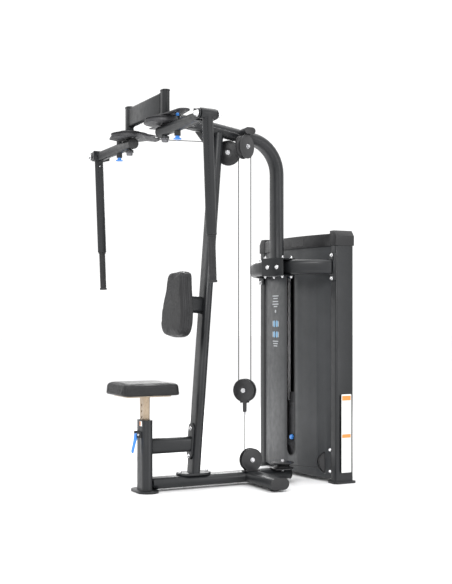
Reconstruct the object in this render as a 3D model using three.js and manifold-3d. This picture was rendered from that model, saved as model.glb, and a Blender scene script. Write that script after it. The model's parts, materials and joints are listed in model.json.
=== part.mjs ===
// Pin-loaded pec fly and rear delt machine, in millimetres, +Z up.
// The user sits facing -Y, +X is the user's left, and the weight tower stands behind at +Y.
// Sizes are worked out from the foot of the seat post at (0, 0, 0), and the whole group is moved
// at the end so that the origin lies under the middle of the machine.
import * as THREE from 'three';
import Module from 'manifold-3d';
import { mergeVertices } from 'three/addons/utils/BufferGeometryUtils.js';

const wasm = await Module();
wasm.setup();

// ---------------------------------------------------------------- driving dimensions

const GAP = 0.3; // left between pieces that touch

const POST = { width: 118, depth: 60, top: 380 }; // seat post sleeve
const POST_BORE = { width: 84, depth: 40, bottom: 60 };
const INNER_POST = { width: 80, depth: 36, bottom: 190 };
const SEAT_HOLES = { pitch: 32, first: 233, count: 8, radius: 6.5, depth: 8 };
const SEAT = { width: 316, front: -176, back: 150, bottom: 513, top: 578 };

const BASE = { width: 110, height: 60, bottom: 12.3, end: 865 }; // floor tube
const CROSS = { y: 625, end: 340, thickness: 110 }; // foot tube to the near side
const BRACKET = { width: 50, height: 84, z: 237 }; // tube between seat post and column

const COLUMN = { width: 100, depth: 50, footY: 282, footZ: 73, lean: THREE.MathUtils.degToRad(4.36) };
const BEAM = { width: 96, height: 64, slope: -0.15, midY: 411, midZ: 1941, bend: 190 };
const LEG = { y: 797, bottom: 1249 };

const HEAD = { y: 10, halfSpan: 245, bottom: 1956, top: 2063, depth: 40 };
const HEAD_POST = { width: 58, depth: 40, bottom: 1942, top: 2072 };

const ARM = { z: 1865, radius: 28.5, inner: 194, outer: 695, capRadius: 29.5 };
const HINGE = { x: 741, z: 1864, radius: 26, halfLength: 38, pinRadius: 9 };
const HANDLE = { radius: 25, length: 561, tilt: THREE.MathUtils.degToRad(2.1) };
const GRIP = { radius: 17.5, length: 222, capRadius: 20 };
const PIVOT = { radius: 13, bore: 13.4, bottom: 1824 };
const CAM = { radius: 168, hubRadius: 108, bottom: 1897, plate: 6, drum: 95, groove: 1916, top: 1923 };
const LEVER = { bottom: CAM.top + 5, thickness: 7 };
const POP_PIN = { fromPivot: 155, radius: 8, tip: LEVER.bottom - GAP, knob: 1796 };

const BOW = { x: -165, y: 1240, radius: 438, turn: 0.466, farRadius: 700,
  height: 84, thickness: 50, z: 1199 };
const SADDLE = { width: 150, depth: 116, turn: THREE.MathUtils.degToRad(22), ahead: 41 };

const TOWER = { x: -191.5, halfWidth: 439.5, front: 1034, back: 1148, height: 1400, capBottom: 1316 };
const UPRIGHT = { width: 64, foot: 12, footWidth: 92, footDepth: 142 };
const PANEL = { nose: 983, bowRadius: 1268, thickness: 4, bottom: 22, top: 1315.7 };
const SLOT = { x: -165.5, width: 84, bottom: 112, top: 1250 };

const STACK = { y: 1048, width: 310, depth: 90, bottom: 110, plate: 24.5, lower: 4, upper: 8, head: 22 };
const BOSS = { width: 92, depth: 84, height: 54 }; // raised middle of the head plate
const RODS = { spacing: 256, radius: 11, bottom: 60, top: 1200 };
const SELECTOR = { radius: 11, bore: 13 };

const CABLE = { radius: 2.5 };
const WHEEL = { pitch: 38, rim: 46, width: 20, bore: 8.5, axle: 8 };
const TOP_WHEEL = { pitch: 58, rim: 64, width: 20, bore: 8.5, axle: 8 };
const GUARD = { plate: 5, clear: 2.5 };
const RUN = { frontX: 0, frontY: 557, backX: 60, backY: 601 }; // cable runs down to the floating pulley
const FLOATING_Z = 518;
const STUB = { y: 569, z: 1931, end: 112 }; // short tube that carries the rear top pulley
const LOW = { z: 135 }; // pulley standing on the floor tube
const FLAT = { radius: 38, y: 798 }; // pulley lying on the floor tube
const TOWER_LOW = { x: 128, y: 1072, z: 106, guard: 66 }; // pulley at the foot of the near upright
const TOWER_TOP = { z: 1252 };

const CENTRE_Y = (SEAT.front + (TOWER.front + TOWER.back) / 2 + UPRIGHT.footDepth / 2) / 2;

// ---------------------------------------------------------------- looks

const LOOKS = {
  frame: { color: 0x26282c, roughness: 0.42, metalness: 0.35 },
  panel: { color: 0x33363b, roughness: 0.5, metalness: 0.3 },
  plastic: { color: 0x1b1c1e, roughness: 0.55, metalness: 0 },
  rubber: { color: 0x141415, roughness: 0.75, metalness: 0 },
  leather: { color: 0x1a1a1c, roughness: 0.5, metalness: 0 },
  chrome: { color: 0xc9c6c0, roughness: 0.18, metalness: 1 },
  blue: { color: 0x2f86dc, roughness: 0.35, metalness: 0 },
  iron: { color: 0x1d1e20, roughness: 0.6, metalness: 0.4 },
  cable: { color: 0x18181a, roughness: 0.45, metalness: 0 },
};

// ---------------------------------------------------------------- geometry helpers

const vec = (x, y, z) => new THREE.Vector3(x, y, z);
const X_AXIS = vec(1, 0, 0);
const Y_AXIS = vec(0, 1, 0);
const Z_AXIS = vec(0, 0, 1);

// A closed three.js geometry as a manifold solid, facing outwards.
function solid(geometry) {
  const bare = geometry.clone();
  for (const name of ['normal', 'uv']) bare.deleteAttribute(name);
  const merged = mergeVertices(bare, 1e-4);
  const corners = merged.attributes.position.array;
  const index = merged.index.array;
  const triangles = [];
  for (let i = 0; i < index.length; i += 3) {
    const [a, b, c] = [index[i], index[i + 1], index[i + 2]];
    if (a !== b && b !== c && c !== a) triangles.push(a, b, c);
  }
  if (signedVolume(corners, triangles) < 0) triangles.reverse();
  return new wasm.Manifold(new wasm.Mesh({
    numProp: 3,
    vertProperties: new Float32Array(corners),
    triVerts: new Uint32Array(triangles),
  }));
}

function signedVolume(corners, triangles) {
  const at = (i) => new THREE.Vector3().fromArray(corners, 3 * i);
  let volume = 0;
  for (let i = 0; i < triangles.length; i += 3) {
    const [a, b, c] = [at(triangles[i]), at(triangles[i + 1]), at(triangles[i + 2])];
    volume += a.dot(b.cross(c)) / 6;
  }
  return volume;
}

const join = (first, ...others) => others.reduce((sum, other) => sum.add(other), first);
const cut = (first, ...others) => others.reduce((rest, other) => rest.subtract(other), first);

// Moves a geometry made at the origin so that its X and Z axes lie along the given directions.
function put(geometry, origin, xAxis = X_AXIS, zAxis = Z_AXIS) {
  const z = zAxis.clone().normalize();
  const y = new THREE.Vector3().crossVectors(z, xAxis).normalize();
  const x = new THREE.Vector3().crossVectors(y, z);
  const placed = geometry.clone();
  placed.applyMatrix4(new THREE.Matrix4().makeBasis(x, y, z).setPosition(origin));
  return placed;
}

function obround(width, height) {
  const shape = new THREE.Shape();
  const r = Math.min(width, height) / 2;
  const dx = width / 2 - r;
  const dy = height / 2 - r;
  if (dx >= dy) {
    shape.absarc(dx, 0, r, -Math.PI / 2, Math.PI / 2);
    shape.absarc(-dx, 0, r, Math.PI / 2, Math.PI * 1.5);
  } else {
    shape.absarc(0, dy, r, 0, Math.PI);
    shape.absarc(0, -dy, r, Math.PI, Math.PI * 2);
  }
  return shape;
}

function roundedRect(width, height, radius) {
  const shape = new THREE.Shape();
  const [x, y] = [width / 2 - radius, height / 2 - radius];
  shape.absarc(x, -y, radius, -Math.PI / 2, 0);
  shape.absarc(x, y, radius, 0, Math.PI / 2);
  shape.absarc(-x, y, radius, Math.PI / 2, Math.PI);
  shape.absarc(-x, -y, radius, Math.PI, Math.PI * 1.5);
  return shape;
}

function outline(points) {
  return new THREE.Shape(points.map(([x, y]) => new THREE.Vector2(x, y)));
}

// A straight bar of the given section, running from origin along zAxis.
function bar(shape, length, origin, xAxis = X_AXIS, zAxis = Z_AXIS, curveSegments = 4) {
  const options = { depth: length, bevelEnabled: false, curveSegments };
  return solid(put(new THREE.ExtrudeGeometry(shape, options), origin, xAxis, zAxis));
}

function box(width, depth, height, centre) {
  return solid(put(new THREE.BoxGeometry(width, depth, height), centre));
}

// A cylinder from one point to another.
function rod(radius, from, to, segments = 20) {
  const along = to.clone().sub(from);
  const side = Math.abs(along.x) > 0.9 * along.length() ? Z_AXIS : X_AXIS;
  const circle = new THREE.CylinderGeometry(radius, radius, along.length(), segments);
  circle.rotateX(Math.PI / 2).translate(0, 0, along.length() / 2);
  return solid(put(circle, from, side, along));
}

// A turned piece about an axis, from [radius, height] pairs.
function turned(profile, origin, axis, segments = 28) {
  const points = profile.map(([r, h]) => new THREE.Vector2(r, h));
  const lathe = new THREE.LatheGeometry(points, segments).rotateX(Math.PI / 2);
  const side = Math.abs(axis.x) > 0.9 ? Z_AXIS : X_AXIS;
  return solid(put(lathe, origin, side, axis));
}

// A curve that visits every one of its stations, for an even sweep.
class Stations extends THREE.Curve {
  constructor(points) {
    super();
    this.points = points;
  }

  getPoint(t, target = new THREE.Vector3()) {
    const step = t * (this.points.length - 1);
    const i = Math.min(Math.floor(step + 1e-6), this.points.length - 2);
    return target.lerpVectors(this.points[i], this.points[i + 1], step - i);
  }

  getPointAt(t, target) {
    return this.getPoint(t, target);
  }

  getTangentAt(t, target = new THREE.Vector3()) {
    const last = this.points.length - 1;
    const i = Math.round(t * last);
    const before = this.points[Math.max(i - 1, 0)];
    const here = this.points[i];
    const after = this.points[Math.min(i + 1, last)];
    const incoming = here.clone().sub(before).normalize();
    const leaving = after.clone().sub(here).normalize();
    return target.copy(incoming).add(leaving).normalize();
  }
}

// A tube of the given section through the points.
function sweep(shape, points, curveSegments = 4) {
  const extrudePath = new Stations(points);
  const options = { extrudePath, steps: points.length - 1, bevelEnabled: false, curveSegments };
  return solid(new THREE.ExtrudeGeometry(shape, options));
}

// Points on an arc about a centre, from one angle to another, in the plane of the axes u and v.
function arc(centre, radius, from, to, steps, u, v) {
  return Array.from({ length: steps + 1 }, (_, i) => {
    const angle = from + ((to - from) * i) / steps;
    return centre.clone()
      .addScaledVector(u, radius * Math.cos(angle))
      .addScaledVector(v, radius * Math.sin(angle));
  });
}

function cable(points) {
  return sweep(new THREE.Shape().absarc(0, 0, CABLE.radius, 0, Math.PI * 2), points, 4);
}

// ---------------------------------------------------------------- the group

const machine = new THREE.Group();
machine.name = 'pec_fly_machine';
machine.position.y = -CENTRE_Y;

function add(name, shape, look) {
  const { vertProperties, triVerts } = shape.getMesh();
  const geometry = new THREE.BufferGeometry();
  geometry.setAttribute('position', new THREE.BufferAttribute(new Float32Array(vertProperties), 3));
  geometry.setIndex(new THREE.BufferAttribute(new Uint32Array(triVerts), 1));
  geometry.computeVertexNormals();
  const mesh = new THREE.Mesh(geometry, new THREE.MeshStandardMaterial(LOOKS[look]));
  mesh.name = name;
  machine.add(mesh);
}

// Each side has its sign: the near side is +X.
const SIDES = [['near', 1], ['far', -1]];

// ---------------------------------------------------------------- seat

function seatPost() {
  const foot = bar(obround(200, 116), 12, vec(0, 0, 0));
  const sleeve = bar(obround(POST.width, POST.depth), POST.top - 12, vec(0, 0, 12), X_AXIS, Z_AXIS, 6);
  const bore = bar(obround(POST_BORE.width, POST_BORE.depth), POST.top, vec(0, 0, POST_BORE.bottom));
  const ears = [-1, 1].map((s) => box(5, 30, 34, vec(s * 19.5, -38, 304)));
  const pin = rod(4, vec(-20, -46, 304), vec(20, -46, 304), 12);
  return cut(join(foot, sleeve, ...ears, pin), bore);
}

function seatInnerPost() {
  const shape = obround(INNER_POST.width, INNER_POST.depth);
  const post = bar(shape, SEAT.bottom - 8 - INNER_POST.bottom, vec(0, 0, INNER_POST.bottom));
  const holes = Array.from({ length: SEAT_HOLES.count }, (_, i) => {
    const z = SEAT_HOLES.first + i * SEAT_HOLES.pitch;
    const front = -INNER_POST.depth / 2;
    return rod(SEAT_HOLES.radius, vec(0, front - 1, z), vec(0, front + SEAT_HOLES.depth, z), 10);
  });
  const middle = (SEAT.front + SEAT.back) / 2;
  const plate = bar(roundedRect(210, 250, 20), 8 - GAP, vec(0, middle, SEAT.bottom - 8));
  return cut(join(post, plate), ...holes);
}

// A cushion: a rounded outline with a soft edge, its thickness along zAxis.
function cushion(shape, thickness, edge, origin, xAxis, zAxis) {
  const geometry = new THREE.ExtrudeGeometry(shape, {
    depth: thickness - 2 * edge, bevelThickness: edge, bevelSize: edge, bevelOffset: -edge,
    bevelSegments: 2, curveSegments: 4,
  });
  geometry.translate(0, 0, edge);
  return solid(put(geometry, origin, xAxis, zAxis));
}

function seatPad() {
  const length = SEAT.back - SEAT.front;
  const origin = vec(0, (SEAT.front + SEAT.back) / 2, SEAT.bottom);
  return cushion(roundedRect(SEAT.width, length, 48), SEAT.top - SEAT.bottom, 14, origin, X_AXIS, Z_AXIS);
}

function seatLever() {
  const profile = outline([[-41, 316], [-50, 317], [-54, 300], [-60, 262], [-74, 214], [-70, 206],
    [-61, 207], [-48, 258], [-41, 290]]);
  const blade = bar(profile, 26, vec(-13, 0, 0), Y_AXIS, X_AXIS);
  return cut(blade, rod(4.4, vec(-20, -46, 304), vec(20, -46, 304), 12));
}

add('seat_post', seatPost(), 'frame');
add('seat_inner_post', seatInnerPost(), 'chrome');
add('seat_pad', seatPad(), 'leather');
add('seat_lever', seatLever(), 'blue');

// ---------------------------------------------------------------- floor frame and column

const columnUp = vec(0, Math.sin(COLUMN.lean), Math.cos(COLUMN.lean));
const columnBack = vec(0, Math.cos(COLUMN.lean), -Math.sin(COLUMN.lean));
const columnAt = (z) => vec(0, COLUMN.footY, COLUMN.footZ)
  .addScaledVector(columnUp, (z - COLUMN.footZ) / columnUp.z);

function floorFrame() {
  const middle = BASE.bottom + BASE.height / 2;
  const start = POST.depth / 2 + GAP;
  const spineEnd = vec(0, start, middle);
  const spine = bar(obround(BASE.width, BASE.height), BASE.end - start, spineEnd, X_AXIS, Y_AXIS);
  const crossEnd = vec(0, CROSS.y, middle);
  const cross = bar(obround(CROSS.thickness, BASE.height), CROSS.end, crossEnd, Y_AXIS, X_AXIS);
  const glides = [[CROSS.end - 60, CROSS.y], [0, BASE.end - 70]]
    .map(([x, y]) => rod(24, vec(x, y, 0), vec(x, y, BASE.bottom + 4), 20));
  return join(spine, cross, ...glides);
}

function seatBracket() {
  const front = columnAt(BRACKET.z).addScaledVector(columnBack, -COLUMN.depth / 2 - GAP);
  const start = POST.depth / 2 + GAP;
  const tubeEnd = vec(0, start, BRACKET.z);
  const tube = bar(obround(BRACKET.width, BRACKET.height), front.y - 8 - start, tubeEnd, X_AXIS, Y_AXIS);
  const corner = front.clone().addScaledVector(columnUp, 14);
  const plate = bar(obround(62, 196), 10, corner, X_AXIS, columnBack.clone().negate());
  return join(tube, plate);
}

const beamAt = (y) => vec(0, y, BEAM.midZ + BEAM.slope * (y - BEAM.midY));

// The centre line of the top beam: straight back with a slope, round the bend, and down the leg.
function beamPath() {
  const slopeAngle = Math.atan(BEAM.slope);
  const corner = beamAt(LEG.y);
  const turn = Math.PI / 2 + slopeAngle;
  const setback = BEAM.bend * Math.tan(turn / 2);
  const along = vec(0, Math.cos(slopeAngle), Math.sin(slopeAngle));
  const bendStart = corner.clone().addScaledVector(along, -setback);
  const centre = vec(0, LEG.y - BEAM.bend, corner.z - setback);
  const bend = arc(centre, BEAM.bend, Math.PI / 2 + slopeAngle, 0, 10, Y_AXIS, Z_AXIS);
  return [beamAt(HEAD.y + HEAD.depth / 2 + 5.5), bendStart, ...bend.slice(1), vec(0, LEG.y, LEG.bottom)];
}

const topBeam = (extra = 0) => sweep(obround(BEAM.width + extra, BEAM.height + extra), beamPath());

// The short tube across the beam's near side that the rear top pulley hangs from.
function topStub() {
  return bar(obround(64, 36), STUB.end - 20, vec(20, STUB.y, STUB.z), Y_AXIS, X_AXIS);
}

function column() {
  const foot = bar(obround(112, 196), 12, vec(0, COLUMN.footY, BASE.bottom + BASE.height + GAP));
  const bottom = columnAt(BASE.bottom + BASE.height + 4);
  const post = bar(obround(COLUMN.width, COLUMN.depth), 1870, bottom, X_AXIS, columnUp);
  const floor = box(400, 400, 200, vec(0, COLUMN.footY, BASE.bottom + BASE.height + GAP - 100));
  const gusset = bar(outline([[285, 1930], [420, 1930], [405, 1790]]), 10,
    vec(-5, 0, 0), Y_AXIS, X_AXIS);
  return cut(join(foot, post, gusset), floor, topBeam(2 * GAP), box(400, 400, 200, vec(0, 420, 2020)));
}

add('floor_frame', floorFrame(), 'frame');
add('seat_bracket', seatBracket(), 'frame');
add('column', column(), 'frame');
add('top_beam', join(topBeam(), legSaddle(), topStub()), 'frame');

// ---------------------------------------------------------------- back pad

const padMiddle = vec(0, 155, 992);

function backPad() {
  const shape = new THREE.Shape();
  shape.moveTo(-60, -178);
  shape.lineTo(60, -178);
  shape.bezierCurveTo(140, -178, 160, -140, 160, -80);
  shape.bezierCurveTo(160, 0, 122, 60, 112, 128);
  shape.bezierCurveTo(108, 165, 90, 178, 56, 178);
  shape.lineTo(-56, 178);
  shape.bezierCurveTo(-90, 178, -108, 165, -112, 128);
  shape.bezierCurveTo(-122, 60, -160, 0, -160, -80);
  shape.bezierCurveTo(-160, -140, -140, -178, -60, -178);
  const origin = padMiddle.clone().addScaledVector(columnBack, 62);
  return cushion(shape, 62, 14, origin, X_AXIS, columnBack.clone().negate());
}

function backSupport() {
  const padBack = padMiddle.clone().addScaledVector(columnBack, 62 + GAP);
  const columnFront = columnAt(992).addScaledVector(columnBack, -COLUMN.depth / 2 - GAP);
  const reach = columnFront.clone().sub(padBack).dot(columnBack);
  const plate = bar(roundedRect(150, 210, 14), 6, padBack, X_AXIS, columnBack);
  const tube = bar(obround(46, 92), reach, padBack.clone().addScaledVector(columnUp, 6), X_AXIS, columnBack);
  return join(plate, tube);
}

add('back_pad', backPad(), 'leather');
add('back_support', backSupport(), 'frame');

// ---------------------------------------------------------------- T head and pivots

function headTube() {
  const half = HEAD.halfSpan - HEAD_POST.width / 2 + 4;
  const middle = (HEAD.bottom + HEAD.top) / 2;
  const shape = roundedRect(HEAD.depth - 4, HEAD.top - HEAD.bottom, 14);
  return bar(shape, 2 * half, vec(-half, HEAD.y, middle), Y_AXIS, X_AXIS, 4);
}

// The post, with the shaft that the cam and the arm turn on and the nut under it.
function headPost(sign) {
  const x = sign * HEAD.halfSpan;
  const post = bar(obround(HEAD_POST.width, HEAD_POST.depth), HEAD_POST.top - HEAD_POST.bottom - 8,
    vec(x, HEAD.y, HEAD_POST.bottom));
  const cap = bar(obround(HEAD_POST.width + 4, HEAD_POST.depth + 4), 8, vec(x, HEAD.y, HEAD_POST.top - 8));
  const shaft = rod(PIVOT.radius, vec(x, HEAD.y, PIVOT.bottom), vec(x, HEAD.y, HEAD_POST.bottom + 5), 20);
  const nut = rod(22, vec(x, HEAD.y, PIVOT.bottom), vec(x, HEAD.y, PIVOT.bottom + 12), 20);
  return join(post, cap, shaft, nut);
}

add('t_head', join(headTube(), headPost(1), headPost(-1)), 'frame');

// ---------------------------------------------------------------- cams, arms, handles

// The cam: the slotted start plate, the cable drum, and the lever plate that lies over the arm.
function cam(sign) {
  const pivot = (z) => vec(sign * HEAD.halfSpan, HEAD.y, z);
  const outwards = vec(sign, 0, 0);
  const plate = mirrored(startPlateOutline(), CAM.plate, sign, pivot(CAM.bottom), 8);
  const drum = turned([[30, CAM.bottom + 3], [CAM.drum + 8, CAM.bottom + 3], [CAM.drum + 8, CAM.groove - 4.5],
    [CAM.drum, CAM.groove - 3.5], [CAM.drum, CAM.groove + 3.5], [CAM.drum + 8, CAM.groove + 4.5],
    [CAM.drum + 8, CAM.top], [30, CAM.top],
    [30, CAM.bottom + 3]], pivot(0), Z_AXIS, 24);
  const hub = rod(34, pivot(CAM.bottom), pivot(CAM.top + 18), 24);
  const lever = bar(leverOutline(), LEVER.thickness, pivot(LEVER.bottom), outwards, Z_AXIS, 4);
  const slots = [arcSlot(90, 112), arcSlot(121, 143), arcSlot(152, 174)]
    .map((slot) => mirrored(slot, 20, sign, pivot(CAM.bottom - 5), 2));
  const bore = rod(PIVOT.bore, pivot(CAM.bottom - 20), pivot(CAM.top + 40), 20);
  return cut(join(plate, drum, hub, lever), bore, ...slots);
}

// The start plate: a round middle under the drum, and a wider sector at the back and the inside.
function startPlateOutline() {
  const [from, to] = [80, 186].map(THREE.MathUtils.degToRad);
  const shape = new THREE.Shape();
  shape.absarc(0, 0, CAM.radius, from, to);
  shape.absarc(0, 0, CAM.hubRadius, to, from + Math.PI * 2);
  return shape;
}

function leverOutline() {
  const shape = new THREE.Shape();
  shape.absarc(0, 0, 62, Math.PI * 0.3, Math.PI * 1.7);
  shape.lineTo(225, -32);
  shape.absarc(225, 0, 32, -Math.PI / 2, Math.PI / 2);
  const holes = [[110, 16], [165, 14], [218, 12]];
  for (const [x, r] of holes) shape.holes.push(new THREE.Path().absarc(x, 0, r, 0, Math.PI * 2));
  return shape;
}

// An arc slot in the start plate, wide enough for the pop pin; angles in degrees from the lever.
function arcSlot(fromDegrees, toDegrees) {
  const [from, to] = [fromDegrees, toDegrees].map(THREE.MathUtils.degToRad);
  const shape = new THREE.Shape();
  const half = POP_PIN.radius + 2;
  const middle = POP_PIN.fromPivot;
  shape.absarc(0, 0, middle - half, from, to);
  shape.absarc(0, 0, middle + half, to, from, true);
  return shape;
}

// A flat outline made upwards from origin, mirrored in the YZ plane on the far side.
function mirrored(shape, depth, sign, origin, curveSegments) {
  const options = { depth, bevelEnabled: false, curveSegments };
  const geometry = new THREE.ExtrudeGeometry(shape, options);
  geometry.scale(sign, 1, 1).translate(origin.x, origin.y, origin.z);
  return solid(geometry);
}

function arm(sign) {
  const at = (x, y = 0, z = 0) => vec(sign * x, HEAD.y + y, ARM.z + z);
  const tube = rod(ARM.radius, at(ARM.inner), at(ARM.outer), 24);
  const cap = rod(ARM.capRadius, at(ARM.inner - 5), at(ARM.inner), 24);
  const crossPlate = box(8, 2 * HINGE.halfLength + 22, 54, at(ARM.outer, 0, 1));
  const ears = [-1, 1].map((s) => bar(earOutline(), 8, at(ARM.outer, s * (HINGE.halfLength + 7) + 4, -1),
    vec(sign, 0, 0), vec(0, -1, 0)));
  const pinEnd = (s) => at(HINGE.x, s * (HINGE.halfLength + 14), -1);
  const pin = rod(HINGE.pinRadius, pinEnd(-1), pinEnd(1), 16);
  const pinX = HEAD.halfSpan + POP_PIN.fromPivot;
  const collar = rod(16, at(pinX, 0, -50), at(pinX, 0, 46), 16);
  const pivotBore = rod(PIVOT.bore, at(HEAD.halfSpan, 0, -60), at(HEAD.halfSpan, 0, 60), 20);
  const pinBore = rod(POP_PIN.radius + 0.5, at(pinX, 0, -60), at(pinX, 0, 60), 12);
  return cut(join(tube, cap, crossPlate, ...ears, pin, collar), pivotBore, pinBore);
}

// One ear of the fork that holds the handle: a plate from the arm's end round the hinge pin.
function earOutline() {
  const shape = new THREE.Shape();
  shape.moveTo(-4, 24);
  shape.lineTo(-4, -24);
  shape.absarc(HINGE.x - ARM.outer, 0, 22, -Math.PI / 2, Math.PI / 2);
  return shape;
}

function popPin(sign) {
  const x = sign * (HEAD.halfSpan + POP_PIN.fromPivot);
  const at = (z) => vec(x, HEAD.y, z);
  const shank = rod(POP_PIN.radius, at(POP_PIN.knob + 8), at(POP_PIN.tip), 12);
  const neck = rod(11, at(POP_PIN.knob + 5), at(ARM.z - 50 - GAP), 12);
  return join(shank, neck, rod(19, at(POP_PIN.knob), at(POP_PIN.knob + 7), 20));
}

// The handle hangs from the hinge, leaning back a little towards its lower end.
const handleDown = vec(0, Math.sin(HANDLE.tilt), -Math.cos(HANDLE.tilt));

function handle(sign) {
  const hinge = vec(sign * HINGE.x, HEAD.y, HINGE.z);
  const along = (distance) => hinge.clone().addScaledVector(handleDown, distance);
  const side = vec(0, HINGE.halfLength, 0);
  const barrel = rod(HINGE.radius, hinge.clone().sub(side), hinge.clone().add(side), 24);
  const tube = rod(HANDLE.radius, hinge, along(HANDLE.length), 24);
  const reach = vec(0, HINGE.halfLength + 5, 0);
  const bore = rod(HINGE.pinRadius + 0.4, hinge.clone().sub(reach), hinge.clone().add(reach), 16);
  return cut(join(barrel, tube), bore);
}

function grip(sign) {
  const start = vec(sign * HINGE.x, HEAD.y, HINGE.z).addScaledVector(handleDown, HANDLE.length + GAP);
  const end = GRIP.length;
  const profile = [[0, 0], [GRIP.radius + 3, 0], [GRIP.radius + 3, 8], [GRIP.radius, 10],
    [GRIP.radius, end - 16], [GRIP.capRadius, end - 14], [GRIP.capRadius, end - 3],
    [GRIP.capRadius - 3, end], [0, end]];
  return turned(profile, start, handleDown, 20);
}

for (const [side, sign] of SIDES) {
  add(`cam_${side}`, cam(sign), 'iron');
  add(`arm_${side}`, arm(sign), 'frame');
  add(`pop_pin_${side}`, popPin(sign), 'blue');
  add(`handle_${side}`, handle(sign), 'frame');
  add(`grip_${side}`, grip(sign), 'rubber');
}

// ---------------------------------------------------------------- tower

const towerMiddleY = (TOWER.front + TOWER.back) / 2;
const uprightX = (sign) => TOWER.x + sign * (TOWER.halfWidth - UPRIGHT.width / 2);
const towerDepth = TOWER.back - TOWER.front;
// Front face of the bowed panel at a given X.
const panelFront = (x) => PANEL.nose + PANEL.bowRadius
  - Math.sqrt(PANEL.bowRadius ** 2 - (x - TOWER.x) ** 2);

function upright(sign) {
  const x = uprightX(sign);
  const footPlan = roundedRect(UPRIGHT.footWidth, UPRIGHT.footDepth, 22);
  const foot = bar(footPlan, UPRIGHT.foot, vec(x, towerMiddleY, 0));
  const post = bar(roundedRect(UPRIGHT.width, towerDepth, 14), TOWER.capBottom - GAP - 6,
    vec(x, towerMiddleY, 6), X_AXIS, Z_AXIS, 4);
  return join(foot, post);
}

// The cap's outer top edge is sloped off.
function uprightCap(sign) {
  const [bottom, top, half] = [TOWER.capBottom, TOWER.height, UPRIGHT.width / 2 + 1.5];
  const inner = -UPRIGHT.width / 2;
  const slope = [[half, top - 30], [half - 24, top]];
  const section = outline([[inner, bottom], [half, bottom], ...slope, [inner, top]]);
  const x = uprightX(sign);
  const length = towerDepth + 4;
  const geometry = new THREE.ExtrudeGeometry(section, { depth: length, bevelEnabled: false });
  const placed = put(geometry, vec(0, 0, 0), X_AXIS, Y_AXIS.clone().negate());
  placed.scale(sign, 1, 1).translate(x, towerMiddleY + length / 2, 0);
  return solid(placed);
}

// An outline in plan between two X limits, its front bowed like the panel.
function bowedOutline(fromX, toX, frontOffset, back) {
  const steps = 14;
  const front = Array.from({ length: steps + 1 }, (_, i) => {
    const x = fromX + ((toX - fromX) * i) / steps;
    return [x, panelFront(x) + frontOffset];
  });
  return outline([...front, [toX, back], [fromX, back]]);
}

const innerNear = uprightX(1) - UPRIGHT.width / 2 - GAP;
const innerFar = uprightX(-1) + UPRIGHT.width / 2 + GAP;

function frontPanel() {
  const steps = 14;
  const at = (i, offset) => {
    const x = innerFar + ((innerNear - innerFar) * i) / steps;
    return [x, panelFront(x) + offset];
  };
  const front = Array.from({ length: steps + 1 }, (_, i) => at(i, 0));
  const back = Array.from({ length: steps + 1 }, (_, i) => at(steps - i, PANEL.thickness));
  const sheet = bar(outline([...front, ...back]), PANEL.top - PANEL.bottom, vec(0, 0, PANEL.bottom));
  const slot = bar(obround(SLOT.width, SLOT.top - SLOT.bottom), 80,
    vec(SLOT.x, PANEL.nose - 20, (SLOT.top + SLOT.bottom) / 2), X_AXIS, Y_AXIS);
  const reach = towerLowAxis.clone().multiplyScalar(28);
  const [left, right] = [towerLowCentre.clone().sub(reach), towerLowCentre.clone().add(reach)];
  return cut(sheet, slot, rod(TOWER_LOW.guard + 5, left, right, 28));
}

function rearPanel() {
  const width = innerNear - innerFar;
  const middle = (innerNear + innerFar) / 2;
  return box(width, 3, PANEL.top - PANEL.bottom, vec(middle, TOWER.back - 4, (PANEL.top + PANEL.bottom) / 2));
}

function topTray() {
  const inset = 1.5;
  const rim = bowedOutline(innerFar + inset, innerNear - inset, -6, TOWER.back + 2);
  const inside = bowedOutline(innerFar + 26, innerNear - 26, 22, TOWER.back - 16);
  const body = bar(rim, 68, vec(0, 0, TOWER.capBottom));
  const hollow = bar(inside, 60, vec(0, 0, TOWER.capBottom + 22));
  return cut(body, hollow);
}

function towerBase() {
  const plan = bowedOutline(innerFar, innerNear - 109, PANEL.thickness + 2, STACK.y + 46);
  const rail = bar(plan, 62, vec(0, 0, 36));
  const buffer = box(150, 70, STACK.bottom - 90 - GAP, vec(SLOT.x, STACK.y, (STACK.bottom + 90 - GAP) / 2));
  const rods = [-1, 1].map((s) => rod(RODS.radius + 0.4, rodAt(s, 59.5), rodAt(s, 120), 16));
  return cut(join(rail, buffer), ...rods);
}

const rodAt = (sign, z) => vec(SLOT.x + (sign * RODS.spacing) / 2, STACK.y, z);

function towerTop() {
  const rail = bar(bowedOutline(innerFar, innerNear, PANEL.thickness + 2, STACK.y + 32), 36, vec(0, 0, 1168));
  const rods = [-1, 1].map((s) => rod(RODS.radius + 0.4, rodAt(s, 1160), rodAt(s, 1210), 16));
  return cut(rail, ...rods, rod(14, vec(SLOT.x, STACK.y, 1160), vec(SLOT.x, STACK.y, 1210), 16));
}

for (const [side, sign] of SIDES) {
  add(`upright_${side}`, upright(sign), 'frame');
  add(`upright_cap_${side}`, uprightCap(sign), 'plastic');
  add(`guide_rod_${side}`, rod(RODS.radius, rodAt(sign, RODS.bottom), rodAt(sign, RODS.top), 16), 'chrome');
}
add('rear_panel', rearPanel(), 'panel');
add('top_tray', topTray(), 'plastic');
add('tower_base_rail', towerBase(), 'frame');

// ---------------------------------------------------------------- bow tube to the column's leg

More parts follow.
